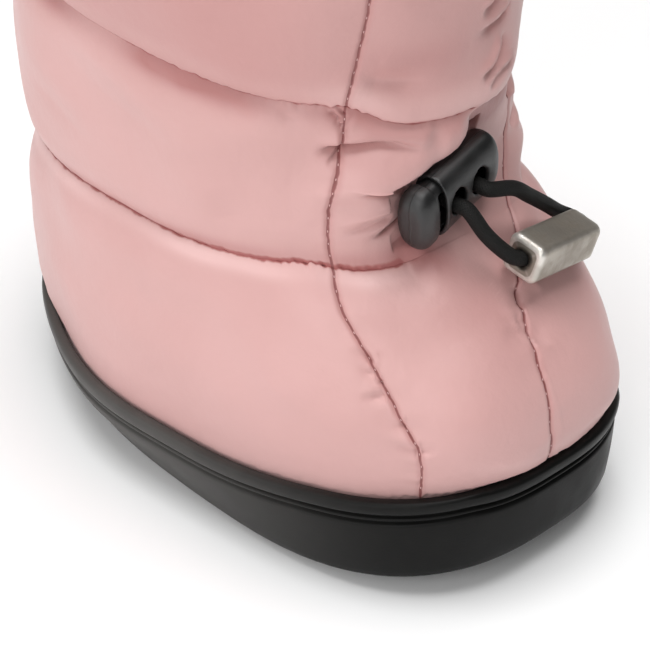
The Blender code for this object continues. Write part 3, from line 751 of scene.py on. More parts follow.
# swells of the padding: angle, height, reach along and up, size
ankleLumps = (
    (-16, 76.0, 5.5, 6.0, 4.2), (-24, 71.5, 7.0, 7.0, 2.4), (36, 79.0, 8.0, 6.0, 1.4),
    (35, 69.0, 8.0, 5.0, 2.2), (22, 90.0, 6.0, 3.0, -1.6), (-47, 78, 7.0, 9.0, 0.5),
    (-66, 84, 10.0, 5.0, 0.5), (-92, 79, 12.0, 6.0, -0.4), (-118, 84, 12.0, 7.0, 0.5),
    (-23, 85.6, 8.0, 2.6, 0.7),
)
footLumps = (
    (-48, 40, 7.0, 8.0, 0.5), (-64, 34, 9.0, 7.0, -0.4), (-84, 42, 12.0, 6.0, 0.4), (-18, 38, 9.0, 7.0, 0.5),
    (-12, 51, 7.0, 4.0, -0.6), (14, 36, 6.0, 9.0, 0.4), (-108, 36, 10.0, 7.0, 0.4),
)


def columnSteps(count):
    # columns at even steps of a density that rises round the front and at the two front seams
    right, left = math.radians(wallForm["rightColumn"]), math.radians(wallForm["leftColumn"])
    fine = np.linspace(-math.pi, math.pi, 6001)
    density = 1.0 + 1.1 * bell(fine + 0.25, 0.95)
    density = density + 3.0 * bell(fine - right, 0.05) + 3.0 * bell(fine - left, 0.05)
    total = np.concatenate([[0.0], np.cumsum((density[1:] + density[:-1]) / 2)])
    columns = np.interp(np.arange(count) / count * total[-1], total, fine)
    seams = [np.abs(columns - home).argmin() for home in (right, left)]
    columns[seams] = right, left
    return columns, seams


def rowSteps(height, count):
    # rows crowd into the first and last two millimetres and are even between
    curve = 2.0 / height * (1.0 - np.cos(np.linspace(0.0, math.pi / 2, 13)))
    middle = np.linspace(curve[-1], 1.0 - curve[-1], max(count - 24, 4))[1:-1]
    return np.concatenate([curve, middle, 1.0 - curve[::-1]])


def roll(gap, quick, slow, share, soft):
    # 0 at the seam, 1 far from it: a tight quarter circle and a long rise, mixed by share
    tight = np.sqrt(1.0 - (1.0 - np.clip(gap / quick, 0.0, 1.0)) ** 2)
    far = np.clip(gap / slow, 0.0, 1.0)
    return share * tight + (1.0 - share) * (far * far * (3.0 - 2.0 * far) if soft else far * (2.0 - far))


def footRoll(angle, quick, slow, share):
    # the foot's cloth rises slowly along the outer side and bulges at once round the toe and heel
    slowly = ease(-2.45, -2.0, angle) * (1.0 - ease(-0.75, -0.1, angle))
    share = 0.75 + (share - 0.75) * slowly - 0.35 * bell(angle - 0.65, 0.45)
    return quick, 6.0 + (slow - 6.0) * slowly, share


def lumpShift(lumps, angle, height, metric):
    # sum of bells, each at its angle and height with its reach along and up
    shift = 0.0
    for place, level, reachAlong, reachUp, size in lumps:
        across = (angle - math.radians(place)) * metric
        shift = shift + size * bell(across, reachAlong) * bell(height - level, reachUp)
    return shift


def edgeShading(gap, amount, place, reach, patch):
    # painted light and shade: a bell at a distance from the edge, uneven along it
    return amount * bell(np.maximum(np.abs(gap - place) - 0.2, 0.0), reach) * (1.0 + 0.5 * patch)


def baffleGrid(row, column, t):
    # heights between two cross seams and angles along the front seams, each needed for the other
    angle = column
    for _ in range(3):
        height = seamHeight(row, angle) * (1 - t) + seamHeight(row + 1, angle) * t
        angle, right, left = columnAngle(column, height)
    return angle, height, right, left


def ripple(angle, height):
    # soft unevenness of the padding: whole waves round the upper, leaning with the height
    waves = (
        (5, 0.06, 0.3, 0.9), (8, -0.12, 1.9, 0.8), (11, 0.22, 4.0, 0.6),
        (15, -0.17, 0.8, 0.35), (19, 0.31, 2.6, 0.16),
    )
    return sum(size * np.sin(count * angle + lean * height + phase) for count, lean, phase, size in waves)


def pucker(length, seed):
    # uneven gathers along a seam: three waves of different pitch
    return (
        np.sin(length / 0.9 + seed) * 0.4
        + np.sin(length / 1.37 + 2.1 * seed) * 0.5
        + np.sin(length / 2.3 + 0.7 * seed) * 0.5
    )


def serration(length):
    # small uneven teeth along a sewn edge, larger toward the front seam
    teeth = 0.5 * np.sin(2.9 * length) + 0.4 * np.sin(1.73 * length + 1.0) + 0.5 * np.sin(1.07 * length + 2.2)
    return teeth * (0.45 + 0.35 * np.sin(0.21 * length + 0.6) + 0.7 * bell(length + 29.0, 12.0))


def hiddenSeam(row, angle):
    # the lower cross seam is lost in the folds behind the cord lock
    share = ease(-0.24, -0.12, angle) * (1.0 - ease(0.45, 0.6, angle))
    return share if row == 1 else 0.0 * angle


def slackRoll(form, angle, height):
    # the slack above the cord lock: a bell across a tilted line, short below it and long above
    off = height - form["slackHeight"] - form["slackTilt"] * np.sin(angle)
    reach = np.where(off < 0.0, form["slackBelow"], form["slackAbove"])
    share = ease(0.75, 0.95, np.cos(angle)) * (1.0 - 0.7 * ease(0.05, 0.45, angle))
    return form["slack"] * bell(off, reach) * share


def creaseShift(wall, normal, creases):
    # each crease is a sharp trough along its line that fades at its tips, with a ridge beside it
    shift = np.zeros(wall.shape[:-1])
    for marks, width, depth, ridge, fadeStart, fadeEnd in creases:
        marks = np.array(marks, dtype=float)
        line = smoothLine(marks * (0.75, 1.0), 15)[0] / (0.75, 1.0)
        spots = wallPoint(np.radians(line[:, 0]), line[:, 1])
        best = np.full(shift.shape, 1e9)
        place, side = np.zeros(shift.shape), np.zeros(shift.shape)
        for i in range(len(spots) - 1):
            step = spots[i + 1] - spots[i]
            share = np.clip(((wall - spots[i]) @ step) / (step @ step), 0.0, 1.0)
            off = wall - spots[i] - share[..., None] * step
            far = np.linalg.norm(off, axis=-1)
            near = far < best
            best = np.where(near, far, best)
            place = np.where(near, (i + share) / (len(spots) - 1), place)
            side = np.where(near, np.sign(np.einsum("...i,...i", np.cross(normal, step), off)), side)
        fade = ease(0.0, fadeStart, place + 1e-6) * ease(0.0, fadeEnd, 1.0 - place + 1e-6)
        beyond = bell(np.maximum(best - 3.0 * width, 0.0), 2.0 * width)
        across = best * side
        trough = np.exp(0.2 - np.sqrt((across / width) ** 2 + 0.04))
        shift = shift + fade * beyond * (ridge * bell(across - 1.9 * width, 1.2 * width) - depth * trough)
    return shift


def makeNylonMaterial(look):
    # pink nylon: soft clouds of colour, paler with painted light and deeper with painted shade from the
    # mesh's shading value, red painted shade into the seams, with grain and weave
    material, tree, shader = newMaterial(
        "pinkNylon", Roughness=look["roughness"], Sheen_Weight=0.12, Sheen_Roughness=0.5
    )
    grain = useGroup(tree, grainGroup, Broad=38.0, Fine=420.0)
    low, high, front, paintedShading = (readValue(tree, key) for key in ("lowGap", "highGap", "frontGap", "paintedShading"))
    # painted shade in the seams: red-brown lines along the lower and upper cross seams and the front seams,
    # uneven by the grain
    lines = []
    for gap, waver, start, end in ((low, 0.7, 0.85, 1.3), (high, 0.7, 0.45, 0.75), (front, 0.3, 0.28, 0.48)):
        edge = plus(tree, gap, times(tree, grain.outputs["Grain"], waver))
        lines.append(stepNode(tree, edge, start, end, 0.95, 0.0))
    clouds = stepNode(tree, grain.outputs["Cloud"], 0.3, 0.7)
    # the random clouds take this duller colour of the cloth
    dullCloudAndUpperShade = tuple(c * k for c, k in zip(look["colour"], (0.965, 0.95, 0.945)))
    base = mixColour(tree, clouds, look["colour"], dullCloudAndUpperShade)
    # painted light and painted shade: paler and deeper where the mesh's shading value says so
    base = mixColour(tree, times(tree, paintedShading, 1.0, clamp=True), base, look["paintedLightColour"])
    base = mixColour(tree, times(tree, paintedShading, -1.0, clamp=True), base, look["paintedShadeColour"])
    # painted shade in the broad valley beside the front seams
    base = mixColour(tree, stepNode(tree, front, 0.2, 1.4, 0.35, 0.0), base, look["paintedShadeColour"])
    # the painted seam shade, darker along the front seams
    base = mixColour(tree, mathNode(tree, "MAXIMUM", lines[0], lines[1]), base, look["seamShadeColour"])
    base = mixColour(tree, lines[2], base, tuple(c * 0.65 for c in look["seamShadeColour"]))
    feed(tree, shader, Base_Color=base)
    weave = useGroup(tree, weaveGroup, Pitch=0.32)
    relief = plus(tree, grain.outputs["Grain"], times(tree, weave.outputs["Height"], 0.02))
    bumpInto(tree, shader, relief, 0.12)
    return material


def makeBaffle(form, baffle, creases, lumps, material):
    # wall point pushed out along its normal by the padding, then slack, valleys, gathers and creases
    name, row, puff, rollLow, rollHigh, dome, count = baffle
    seams = wallForm["crossSeams"]
    tall = seams[row + 1][0] - seams[row][0]
    columns, seamColumns = columnSteps(form["columns"])
    column, t = np.meshgrid(columns, rowSteps(tall, count))
    angle, height, right, left = baffleGrid(row, column, t)
    wall = wallPoint(angle, height)
    along, up, normal = wallSlopes(angle, height)
    metric = np.linalg.norm(along, axis=-1)
    span = seamHeight(row + 1, angle) - seamHeight(row, angle)
    lowGap, highGap = t * span, (1 - t) * span
    lowLost, highLost = hiddenSeam(row, angle), hiddenSeam(row + 1, angle)
    if row == 0:
        rollLow = footRoll(angle, *rollLow)
    lowRoll, highRoll = roll(lowGap, *rollLow, row == 0), roll(highGap, *rollHigh, False)
    full = (lowRoll + (1 - lowRoll) * lowLost) * (highRoll + (1 - highRoll) * highLost)
    gaps = []
    for i, seam in enumerate((right, left)):
        gaps.append((angle - seam) * metric + form["jag"] * pucker(3.1 * height, i))
    frontGap = np.minimum(np.abs(gaps[0]), np.abs(gaps[1]))
    lowGap, highGap = lowGap + form["lostGap"] * lowLost, highGap + form["lostGap"] * highLost
    out = puff * full * (1 - dome + dome * np.clip(4 * t * (1 - t), 0, 1))
    out = out - form["broadValley"] * bell(frontGap, form["broadWidth"]) * full
    out = out - form["valley"] * bell(frontGap, form["valleyWidth"]) * full
    for i, gap in enumerate(gaps):
        gather = bell(np.abs(gap) - 1.6, 2.2) * pucker(height, 1.3 + 2.0 * i + (gap > 0) * 0.9)
        out = out + form["gather"] * gather * full
    sideways = np.abs(angle) * form["gatherScale"]
    for gap, seed in ((lowGap, 0.7), (highGap, 2.9)):
        out = out + form["gather"] * bell(gap - 1.5, 3.0) * pucker(sideways, seed) * full
    out = out + form["ripple"] * ripple(angle, height) * full
    out = out + (creaseShift(wall, normal, creases) + lumpShift(lumps, angle, height, metric)) * full
    if row == 2:
        flare = ease(0.5, 0.85, np.cos(angle)) * (1.0 - ease(-0.15, 0.1, angle))
        out = out + form["flare"] * bell(lowGap, form["flareReach"]) * full * flare
    # the ankle tucks in under the slack beside the cord lock
    tuck = ease(form["tuckStart"], form["tuckEnd"], angle) * ease(0.0, form["tuckReach"], highGap)
    tuck = form["tuck"] * tuck * (row == 1)
    out = out + slackRoll(form, angle, height) * (1.0 - tuck) - form["seamDepth"] * (1 - full)
    around = angle * form["toothScale"]
    teeth = serration(around) * bell(lowGap, 0.9) + serration(around + 7.0) * bell(highGap, 0.9)
    lift = form["serration"] * teeth + 0.25 * bell(highGap, 0.6)
    points = pressSeat(wall + normal * out[..., None] + unit(up) * lift[..., None], 0.0)
    seamLines = [points[:, i] for i in seamColumns]
    patch = pucker(sideways * 0.55, 1.7)
    # painted light and shade along the seams, in patches round the cord lock and over the shaft, carried to
    # the material as a shading value
    lowEdgeShading, highEdgeShading = form["paintedEdgeShading"][row]
    outer = ease(0.55, 0.85, -np.sin(angle))
    paintedShading = edgeShading(lowGap, *lowEdgeShading, patch) * (1.0 - 0.8 * outer * (row == 2))
    paintedShading = paintedShading + edgeShading(highGap, *highEdgeShading, patch) * (1.0 + 0.9 * outer * (1.0 + patch) * (row == 1))
    paintedShading = paintedShading + lumpShift(form["lightAndShadePatches"], angle, height, metric) - form["dullCloudAndUpperShade"] * (row > 1) * (1.0 + outer)
    lowGap = lowGap + form["lostGap"] * (row == 0) + 0.3 * (1.0 + patch) * (row == 2)
    # the back of the pad runs down inside the outer cloth
    backColumn, backT = np.meshgrid(columns, np.linspace(1.0, 0.0, form["backRows"]))
    backAngle, backHeight = baffleGrid(row, backColumn, backT)[:2]
    if row == 0:
        # the foot's cloth hangs on below its edge, behind the rand
        hang = seams[0][0] + (form["skirt"] - seams[0][0]) * np.array([[1.0], [0.66], [0.33]])
        hangAngle = np.repeat(angle[:1], 3, axis=0)
        hangHeight = hang + 0.0 * hangAngle
        skirt = wallPoint(hangAngle, hangHeight) - wallSlopes(hangAngle, hangHeight)[2] * form["seamDepth"]
        points = np.concatenate([skirt, points])
        pad = np.full((3, form["columns"]), form["backGap"])
        held = (frontGap, lowGap, highGap, paintedShading)
        frontGap, lowGap, highGap, paintedShading = (np.concatenate([pad, value]) for value in held)
        backHeight[-1] = form["skirt"]
    backWall = wallPoint(backAngle, backHeight) - wallSlopes(backAngle, backHeight)[2] * form["backDepth"]
    backGap = np.full(backAngle.shape, form["backGap"])
    values = {"lowGap": lowGap, "highGap": highGap, "frontGap": frontGap}
    values = {key: np.concatenate([np.minimum(gap, 8.0), backGap]) for key, gap in values.items()}
    values["paintedShading"] = np.concatenate([np.clip(paintedShading, -1.0, 1.0), 0.0 * backGap])
    wide = np.concatenate([columns, columns[:1] + turn]) * form["clothScale"]
    steps = np.concatenate([np.linspace(0, tall, len(points)), np.linspace(tall, 0.0, form["backRows"] + 1)])
    grid = np.concatenate([points, pressSeat(backWall, form["backDepth"])])
    item = skin(name, grid, wrapRows=True, values=values, uvSteps=(wide, steps))
    dress(item, "boot", material, ["upper"])
    return item, seamLines


stitchForm = {"pitch": 2.8, "length": 0.5, "radius": 0.10, "sides": 6}


def makeStitches(form, lines, look):
    # a short capsule at even steps along each seam line, bedded in the seam
    ends = np.array([(-0.5, 0.0), (-0.42, 0.75), (-0.2, 1.0), (0.2, 1.0), (0.42, 0.75), (0.5, 0.0)])
    angle = np.arange(form["sides"]) * turn / form["sides"]
    spots, ways = [], []
    for line in lines:
        length = np.concatenate([[0.0], np.cumsum(np.linalg.norm(np.diff(line, axis=0), axis=1))])
        even = np.arange(form["pitch"], length[-1] - form["pitch"] / 2, form["pitch"])
        spots.append(np.stack([np.interp(even, length, line[:, i]) for i in range(3)], axis=-1))
        ways.append(unit(np.gradient(spots[-1], axis=0)))
    spots, ways = np.concatenate(spots), np.concatenate(ways)
    sides = unit(np.cross(ways, spots * (1.0, 1.0, 0.0)))
    outs = np.cross(sides, ways)
    ring = np.cos(angle)[:, None, None] * sides + np.sin(angle)[:, None, None] * outs
    grid = spots + ways * (ends[:, 0] * form["length"])[:, None, None]
    points = grid[:, None] + ring[None] * (ends[:, 1] * form["radius"])[:, None, None, None]
    points = np.moveaxis(points, 2, 0)
    per = len(ends) * form["sides"]
    faces = gridFaces(len(ends), form["sides"])
    faces = (faces[None] + per * np.arange(len(spots))[:, None, None]).reshape(-1, 4)
    material = newMaterial("seamThread", Roughness=0.6, Base_Color=(*look["threadColourAndCrestSheen"], 1.0))[0]
    stitches = putMesh("seam_stitches", points.reshape(-1, 3), [faces])
    return dress(stitches, "boot", material, ["upper"])


nylon = makeNylonMaterial(nylonLook)
creaseTables = {"quilt_foot": footCreases, "quilt_ankle": ankleCreases, "quilt_shaft": shaftCreases}
lumpTables = {"quilt_foot": footLumps, "quilt_ankle": ankleLumps}
stitchLines = []
for baffle in quiltForm["baffles"]:
    tables = creaseTables.get(baffle[0], ()), lumpTables.get(baffle[0], ())
    made, seamLines = makeBaffle(quiltForm, baffle, *tables, nylon)
    stitchLines += seamLines if baffle[1] < 4 else []
    print(made.name, len(made.data.polygons) * 2, "triangles")
stitches = makeStitches(stitchForm, stitchLines, nylonLook)
print("stitches", len(stitches.data.polygons) * 2, "triangles")


# lining and insole

liningForm = {
    "outer": 1.15, "inner": 1.6, "columns": 200, "rows": 60, "top": 171.6, "bottom": 15.7,
    "colour": (0.62, 0.56, 0.52), "shade": (0.44, 0.39, 0.36),
}
insoleForm = {
    "inset": 5.4, "thick": 3.0, "edge": 0.9, "columns": 200,
    "colour": (0.34, 0.30, 0.27), "shade": (0.24, 0.21, 0.19),
}


def makeFleeceMaterial(name, form):
    # short pile: soft clouds and a fine tufted relief
    material, tree, shader = newMaterial(name, Roughness=0.95, Sheen_Weight=0.35, Sheen_Roughness=0.6)
    grain = useGroup(tree, grainGroup, Broad=420.0, Fine=1500.0)
    clouds = stepNode(tree, grain.outputs["Cloud"], 0.3, 0.7)
    feed(tree, shader, Base_Color=mixColour(tree, clouds, form["shade"], form["colour"]))
    bumpInto(tree, shader, plus(tree, grain.outputs["Cloud"], grain.outputs["Grain"]), 0.6)
    return material


def makeLining(form):
    # thin closed tube inside the pads: up the outer face, over the top, down the inner face
    column = np.linspace(-math.pi, math.pi, form["columns"], endpoint=False)
    sides = []
    for depth, start, end in ((form["outer"], "bottom", "top"), (form["inner"], "top", "bottom")):
        angle, height = np.meshgrid(column, np.linspace(form[start], form[end], form["rows"]))
        height = height + 4.0 * np.cos(angle) * ease(110.0, 172.0, height)
        points = wallPoint(angle, height) - wallSlopes(angle, height)[2] * depth
        sides.append(pressSeat(points, depth))
    lining = skin("fleece_lining", np.concatenate(sides), wrapRows=True)
    dress(lining, "boot", makeFleeceMaterial("paleFleece", form), ["upper"])


def makeInsole(form):
    # flat foam pad with a rounded upper edge, following the sole's outline
    angle = ringAngles(form["columns"])
    low = soleForm["top"] + soleForm["gap"]
    high, edge = low + form["thick"], form["edge"]
    rows = [(low, 0.6), (low + 0.3, 0.0)]
    for a in np.linspace(0.0, math.pi / 2, 7):
        rows.append((high - edge + edge * math.sin(a), edge - edge * math.cos(a)))
    rows += [(high, inward) for inward in (3.0, 8.0, 16.0, 26.0)]
    grid = np.array([soleRing(angle, z, form["inset"] + inward) for z, inward in rows])
    insole = skin("insole_foam", grid, caps=True)
    dress(insole, "boot", makeFleeceMaterial("brushedInsole", form), ["insole"])


makeLining(liningForm)
makeInsole(insoleForm)
print("lining and insole made")


# sole and rand

rubberLook = {
    "colour": (0.0055, 0.0055, 0.0052), "cloud": (0.011, 0.0108, 0.0102), "paintedSheen": (0.085, 0.081, 0.077),
}
outsoleForm = {
    "columns": 360,
    # height, inset at toe and heel, extra inset along the waist
    "side": (
        (1.4, 3.4, 2.2), (1.45, 2.7, 2.2), (1.7, 2.2, 2.2), (2.2, 1.95, 2.2), (3.4, 1.6, 2.1),
        (5.5, 1.35, 1.75), (8.0, 1.1, 1.3), (10.5, 0.95, 0.85), (12.4, 0.9, 0.5), (12.9, 0.92, 0.45),
        (13.1, 1.05, 0.4), (13.25, 1.3, 0.35), (13.4, 1.6, 0.3), (13.6, 1.75, 0.3), (13.8, 1.7, 0.3),
        (13.92, 1.4, 0.3), (14.05, 1.1, 0.3), (14.25, 0.97, 0.3), (14.45, 0.97, 0.3), (14.65, 1.1, 0.3),
        (14.78, 1.4, 0.3), (14.9, 1.65, 0.3), (15.1, 1.75, 0.3),
    ),
    "treadHeight": 1.4, "treadInset": 4.5, "treadWaist": 3.5, "groove": 3.0,
    "runs": ((1.0, 66.0, 6), (-66.0, -34.0, 3)),
}
randForm = {
    "columns": 360,
    # height, inset
    "side": (
        (15.4, 2.8), (15.4, 1.9), (15.45, 1.4), (15.6, 0.95), (15.85, 0.65), (16.3, 0.48), (17.0, 0.4),
        (17.6, 0.4), (17.9, 0.46), (18.15, 0.62), (18.35, 0.85), (18.47, 1.15), (18.5, 1.6), (18.5, 2.5),
        (18.3, 2.8),
    ),
}


def makeRubberMaterial(look, name, roughness):
    # moulded rubber: satin with a fine skin, with a painted grey sheen along the outer side toward the heel
    # and a weaker one along the far side
    material, tree, shader = newMaterial(name, Specular_IOR_Level=0.12)
    grain = useGroup(tree, grainGroup, Broad=120.0, Fine=2600.0)
    place = addNode(tree, "ShaderNodeSeparateXYZ", {0: addNode(tree, "ShaderNodeTexCoord").outputs["Object"]})
    x, y, cloud = place.outputs["X"], place.outputs["Y"], grain.outputs["Cloud"]
    black = mixColour(tree, stepNode(tree, cloud, 0.45, 0.8, 0.0, 0.5), look["colour"], look["cloud"])
    # painted sheen: a grey bloom along the outer side toward the heel, weaker along the far side
    outer = times(tree, stepNode(tree, x, 0.062, -0.012), stepNode(tree, y, 0.0, -0.02))
    inner = times(tree, stepNode(tree, y, 0.012, 0.04), 0.4)
    sheenMask = plus(tree, 0.75, times(tree, cloud, 0.5))
    sheenMask = times(tree, sheenMask, mathNode(tree, "MAXIMUM", outer, inner), clamp=True)
    feed(
        tree, shader, Base_Color=mixColour(tree, sheenMask, black, look["paintedSheen"]),
        Roughness=stepNode(tree, cloud, 0.3, 0.7, roughness - 0.05, roughness + 0.08),
    )
    bumpInto(tree, shader, grain.outputs["Grain"], 0.03)
    return material


def lugOutlines(form):
    # each lug lies between two cross grooves, the middle groove and the sole's drawn-in outline
    fine = np.linspace(0.0, turn, 1441)
    edge = soleRing(fine, 0.0, form["treadInset"], form["treadWaist"])[:, :2]
    lugs = []
    for back, front, count in form["runs"]:
        pitch = (front - back) / (count + 1)
        cuts = back + pitch * np.arange(count + 2)
        for i in range(count + 1):
            first = cuts[i] + (form["groove"] / 2 if i > 0 else 0.0)
            last = cuts[i + 1] - (form["groove"] / 2 if i < count else 0.0)
            for sign in (1.0, -1.0):
                half = edge[edge[:, 1] * sign > 0]
                half = half[half[:, 0].argsort()]
                xs = np.linspace(max(first, half[0, 0] + 0.4), min(last, half[-1, 0] - 0.4), 20)
                outer = np.interp(xs, half[:, 0], half[:, 1] * sign)
                outer = np.maximum(outer, form["groove"] / 2 + 0.8)
                inner = np.column_stack([xs[::-1], np.full(20, form["groove"] / 2 * sign)])
                line = np.concatenate([np.column_stack([xs, outer * sign]), inner])
                lugs.append(line if sign < 0 else line[::-1])
    return lugs


def makeOutsole(form, material):
    # side profile carried round the outline, closed below and above, with lugs as rounded blocks beneath
    count, floor = form["columns"], form["treadHeight"]
    angle = ringAngles(count)
    rows = [(floor, 30.0, 0.0), (floor, 18.0, 0.0), (floor, 8.0, 1.5), *form["side"]]
    rows += [(soleForm["top"], inset, 0.0) for inset in (6.0, 20.0, 32.0)]
    body = np.array([soleRing(angle, *row) for row in rows])
    points, faces = [body.reshape(-1, 3)], [gridFaces(len(rows), count)]
    ring = np.arange(count)
    total = len(points[0])
    points.append(np.stack([body[0].mean(axis=0), body[-1].mean(axis=0)]))
    faces.append(fanFaces(ring, total, True))
    faces.append(fanFaces(total - count + ring, total + 1, False))
    total += 2
    # height and inset of a lug's rounded edge, from its bottom up into the sole
    edges = ((0.0, 1.3), (0.0, 0.55), (0.08, 0.25), (0.3, 0.05), (0.6, 0.0), (floor + 0.3, -0.1))
    for line in lugOutlines(form):
        middle = line.mean(axis=0)
        span = np.abs(line - middle).max(axis=0)
        levels = []
        for z, inset in edges:
            flat = middle + (line - middle) * (1.0 - inset / span)
            levels.append(np.column_stack([flat, z + toeRise(flat[:, 0])]))
        grid = np.array(levels)
        points.append(grid.reshape(-1, 3))
        points.append(grid[0].mean(axis=0)[None])
        faces.append(gridFaces(len(edges), len(line), first=total))
        top = total + len(edges) * len(line)
        faces.append(fanFaces(total + np.arange(len(line)), top, True))
        total = top + 1
    outsole = putMesh("outsole_rubber", np.concatenate(points), faces, sharp=50)
    return dress(outsole, "boot", material, ["outsole"])


def makeRand(form, material):
    # closed band: its side profile carried round the outline
    angle = ringAngles(form["columns"])
    grid = np.array([soleRing(angle, z, inset) for z, inset in form["side"]])
    rand = skin("rand_rubber", grid, wrapRows=True)
    return dress(rand, "boot", material, ["rand"])


makeOutsole(outsoleForm, makeRubberMaterial(rubberLook, "soleRubber", 0.44))
makeRand(randForm, makeRubberMaterial(rubberLook, "randRubber", 0.36))
print("sole and rand made")


# cord lock

plasticLook = {"colour": (0.009, 0.009, 0.0092), "roughness": 0.42}
lockFinish = {"voxel": 0.24, "smooth": 6, "columns": 72, "power": 2.5}


def lockRing(along, halfDepth, halfHeight, count, power):
    # superellipse across the lock at one place along it
    angle = ringAngles(count)
    out = halfDepth * signedPower(np.cos(angle), 2.0 / power)
    tall = -halfHeight * signedPower(np.sin(angle), 2.0 / power)
    return lockPoint(np.full(count, along), tall, out)


def makePlasticMaterial(look):
    # satin plastic with a fine spark-eroded skin and a faint mould line on the lock's middle plane
    material, tree, shader = newMaterial("satinPlastic", Specular_IOR_Level=0.7)
    grain = useGroup(tree, grainGroup, Broad=200.0, Fine=3200.0)
    face = lockFrame()[2]
    place = addNode(tree, "ShaderNodeTexCoord").outputs["Object"]
    centre = (np.array(lockForm["centre"]) + partMove) * mm
    local = addNode(tree, "ShaderNodeVectorMath", {0: place, 1: tuple(centre)}, operation="SUBTRACT")
    aligned = {0: local.outputs[0], 1: tuple(face)}
    depth = addNode(tree, "ShaderNodeVectorMath", aligned, operation="DOT_PRODUCT")
    line = stepNode(tree, mathNode(tree, "ABSOLUTE", depth.outputs["Value"]), 0.00005, 0.00022, 1.0, 0.0)
    cloud = grain.outputs["Cloud"]
    pale = tuple(c * 1.9 for c in look["colour"])
    rough = look["roughness"]
    black = mixColour(tree, stepNode(tree, cloud, 0.4, 0.8, 0.0, 0.6), look["colour"], pale)
    feed(
        tree, shader, Base_Color=black,
        Roughness=stepNode(tree, cloud, 0.3, 0.7, rough - 0.04, rough + 0.08),
    )
    bumpInto(tree, shader, plus(tree, times(tree, grain.outputs["Grain"], 0.35), line), 0.09)
    return material


def cutWith(item, tool):
    # takes the tool's volume out of the piece
    change = item.modifiers.new(tool.name, "BOOLEAN")
    change.operation = "DIFFERENCE"
    change.solver = "EXACT"
    change.object = tool


def settleMesh(item, tools, finish):
    # remesh the cut piece to even small faces and smooth them, so that every edge is a moulded one
    even = item.modifiers.new("even", "REMESH")
    even.mode = "VOXEL"
    even.voxel_size = finish["voxel"] * mm
    even.use_smooth_shade = True
    soft = item.modifiers.new("soft", "SMOOTH")
    soft.factor = 0.5
    soft.iterations = finish["smooth"]
    bpy.context.view_layer.update()
    graph = bpy.context.evaluated_depsgraph_get()
    mesh = bpy.data.meshes.new_from_object(item.evaluated_get(graph))
    item.modifiers.clear()
    item.data = mesh
    item.data.name = item.name
    mesh.polygons.foreach_set("use_smooth", np.ones(len(mesh.polygons), dtype=bool))
    for tool in tools:
        bpy.data.objects.remove(tool)


def makeBarrel(form, finish, material):
    # tube with a domed far end, hollowed from its near end, with two round holes for the cord
    count, power = finish["columns"], finish["power"]
    depth, tall = form["halfDepth"], form["halfHeight"]
    curve = np.linspace(0.0, math.pi / 2, 9)
    ends = [(3.5 * (1 - math.sin(a)), 1.0 - 0.55 * (1 - math.cos(a)) ** 1.2) for a in curve]
    rings = [lockRing(form["start"], depth, tall, count, power)]
    rings += [lockRing(form["end"] - back, depth * size, tall * size, count, power) for back, size in ends]
    barrel = skin("toggle_barrel_body", np.array(rings), caps=True)
    wall = form["wall"]
    spots = (form["start"] - 2.0, form["end"] - form["floor"])
    room = [lockRing(spot, depth - wall, tall - wall, count, power) for spot in spots]
    tools = [skin("lockRoom", np.array(room), caps=True)]
    angle = np.linspace(0.0, turn, 48, endpoint=False)
    low, top = form["holeLow"], form["holeHigh"]
    for hole in form["holes"]:
        across = hole + form["holeWidth"] / 2 * np.cos(angle)
        high = (top + low) / 2 + (top - low) / 2 * np.sin(angle)
        rings = np.array([lockPoint(across, high, np.full(48, out)) for out in (-8.0, 8.0)])
        tools.append(skin("lockHole", rings, caps=True))
    for tool in tools:
        cutWith(barrel, tool)
    settleMesh(barrel, tools, finish)
    return dress(barrel, "boot", material, ["toggle_barrel"])


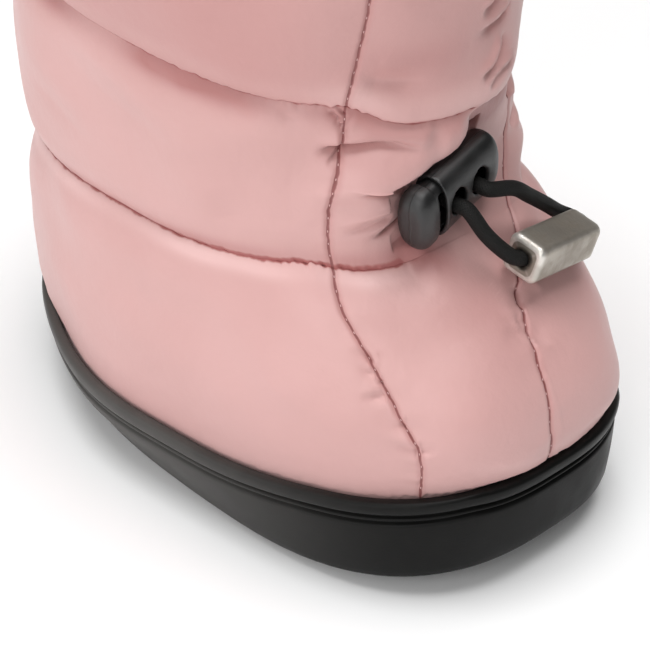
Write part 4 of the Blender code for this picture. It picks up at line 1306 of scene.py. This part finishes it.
def makeButton(form, finish, material):
    # domed cap on a stem that slides in the barrel, with a window for the cord
    count, power = finish["columns"], finish["power"]
    depth, tall = form["halfDepth"], form["halfHeight"]
    start, stop = form["start"] - form["buttonReach"], form["start"] - form["buttonGap"]
    curve = np.linspace(0.0, math.pi / 2, 10)
    domes = [(2.8 * (1 - math.cos(a)), 0.40 + 0.6 * math.sin(a) ** 0.8) for a in curve]
    domes.append((stop - start, 1.0))
    wide, long = depth * form["buttonSize"], tall * form["buttonSize"]
    rings = [lockRing(start + spot, wide * size, long * size, count, power) for spot, size in domes]
    stem = form["wall"] + form["stemPlay"]
    rings += [lockRing(spot, depth - stem, tall - stem, count, power) for spot in (stop, form["stemTail"])]
    button = skin("toggle_button_cap", np.array(rings), caps=True)
    low, high, rail = form["stemWindow"], form["stemTail"] + 4.0, form["stemRail"]
    across = np.array([low, high, high, low])
    up = np.array([-rail, -rail, rail, rail])
    rings = np.array([lockPoint(across, up, np.full(4, out)) for out in (-9.0, 9.0)])
    window = skin("stemWindow", rings, caps=True)
    cutWith(button, window)
    settleMesh(button, [window], finish)
    return dress(button, "button", material, ["toggle_button"])


plastic = makePlasticMaterial(plasticLook)
barrel = makeBarrel(lockForm, lockFinish, plastic)
button = makeButton(lockForm, lockFinish, plastic)
print("lock made:", len(barrel.data.polygons), "and", len(button.data.polygons), "faces")


# floor and light

studio = {
    "floor": (0.93, 0.93, 0.93),
    "world": 0.05,
    # name, place, size, power
    "lights": (
        ("overhead", (0.0, 0.0, 1.20), 1.0, 14.7),
        ("frontLeft", (0.35, -1.15, 0.55), 1.0, 6.7),
        ("farLeft", (-0.80, -0.90, 0.50), 1.0, 3.4),
        ("front", (0.75, -0.65, 0.90), 1.0, 2.8),
        ("overRight", (0.05, 0.55, 1.05), 0.9, 0.8),
    ),
}


def makeStudio(form):
    # pale floor, even room light and round area lights turned to the part
    mesh = bpy.data.meshes.new("studioFloor")
    mesh.from_pydata([(-6, -6, 0), (6, -6, 0), (6, 6, 0), (-6, 6, 0)], [], [(0, 1, 2, 3)])
    floor = bpy.data.objects.new("studioFloor", mesh)
    bpy.context.scene.collection.objects.link(floor)
    look = {"Base_Color": (*form["floor"], 1.0), "Roughness": 0.9, "Specular_IOR_Level": 0.1}
    mesh.materials.append(newMaterial("paleFloor", **look)[0])
    world = bpy.data.worlds.new("softRoom")
    world.use_nodes = True
    background = world.node_tree.nodes["Background"]
    background.inputs["Color"].default_value = (1.0, 1.0, 1.0, 1.0)
    background.inputs["Strength"].default_value = form["world"]
    bpy.context.scene.world = world
    for name, place, size, power in form["lights"]:
        data = bpy.data.lights.new(name, "AREA")
        data.shape = "DISK"
        data.size = size
        data.energy = power
        lamp = bpy.data.objects.new(name, data)
        lamp.location = place
        lamp.rotation_euler = (Vector((0, 0, 0.05)) - Vector(place)).to_track_quat("-Z", "Y").to_euler()
        bpy.context.scene.collection.objects.link(lamp)


makeStudio(studio)
bpy.context.scene.view_settings.view_transform = "Standard"
print("studio made")
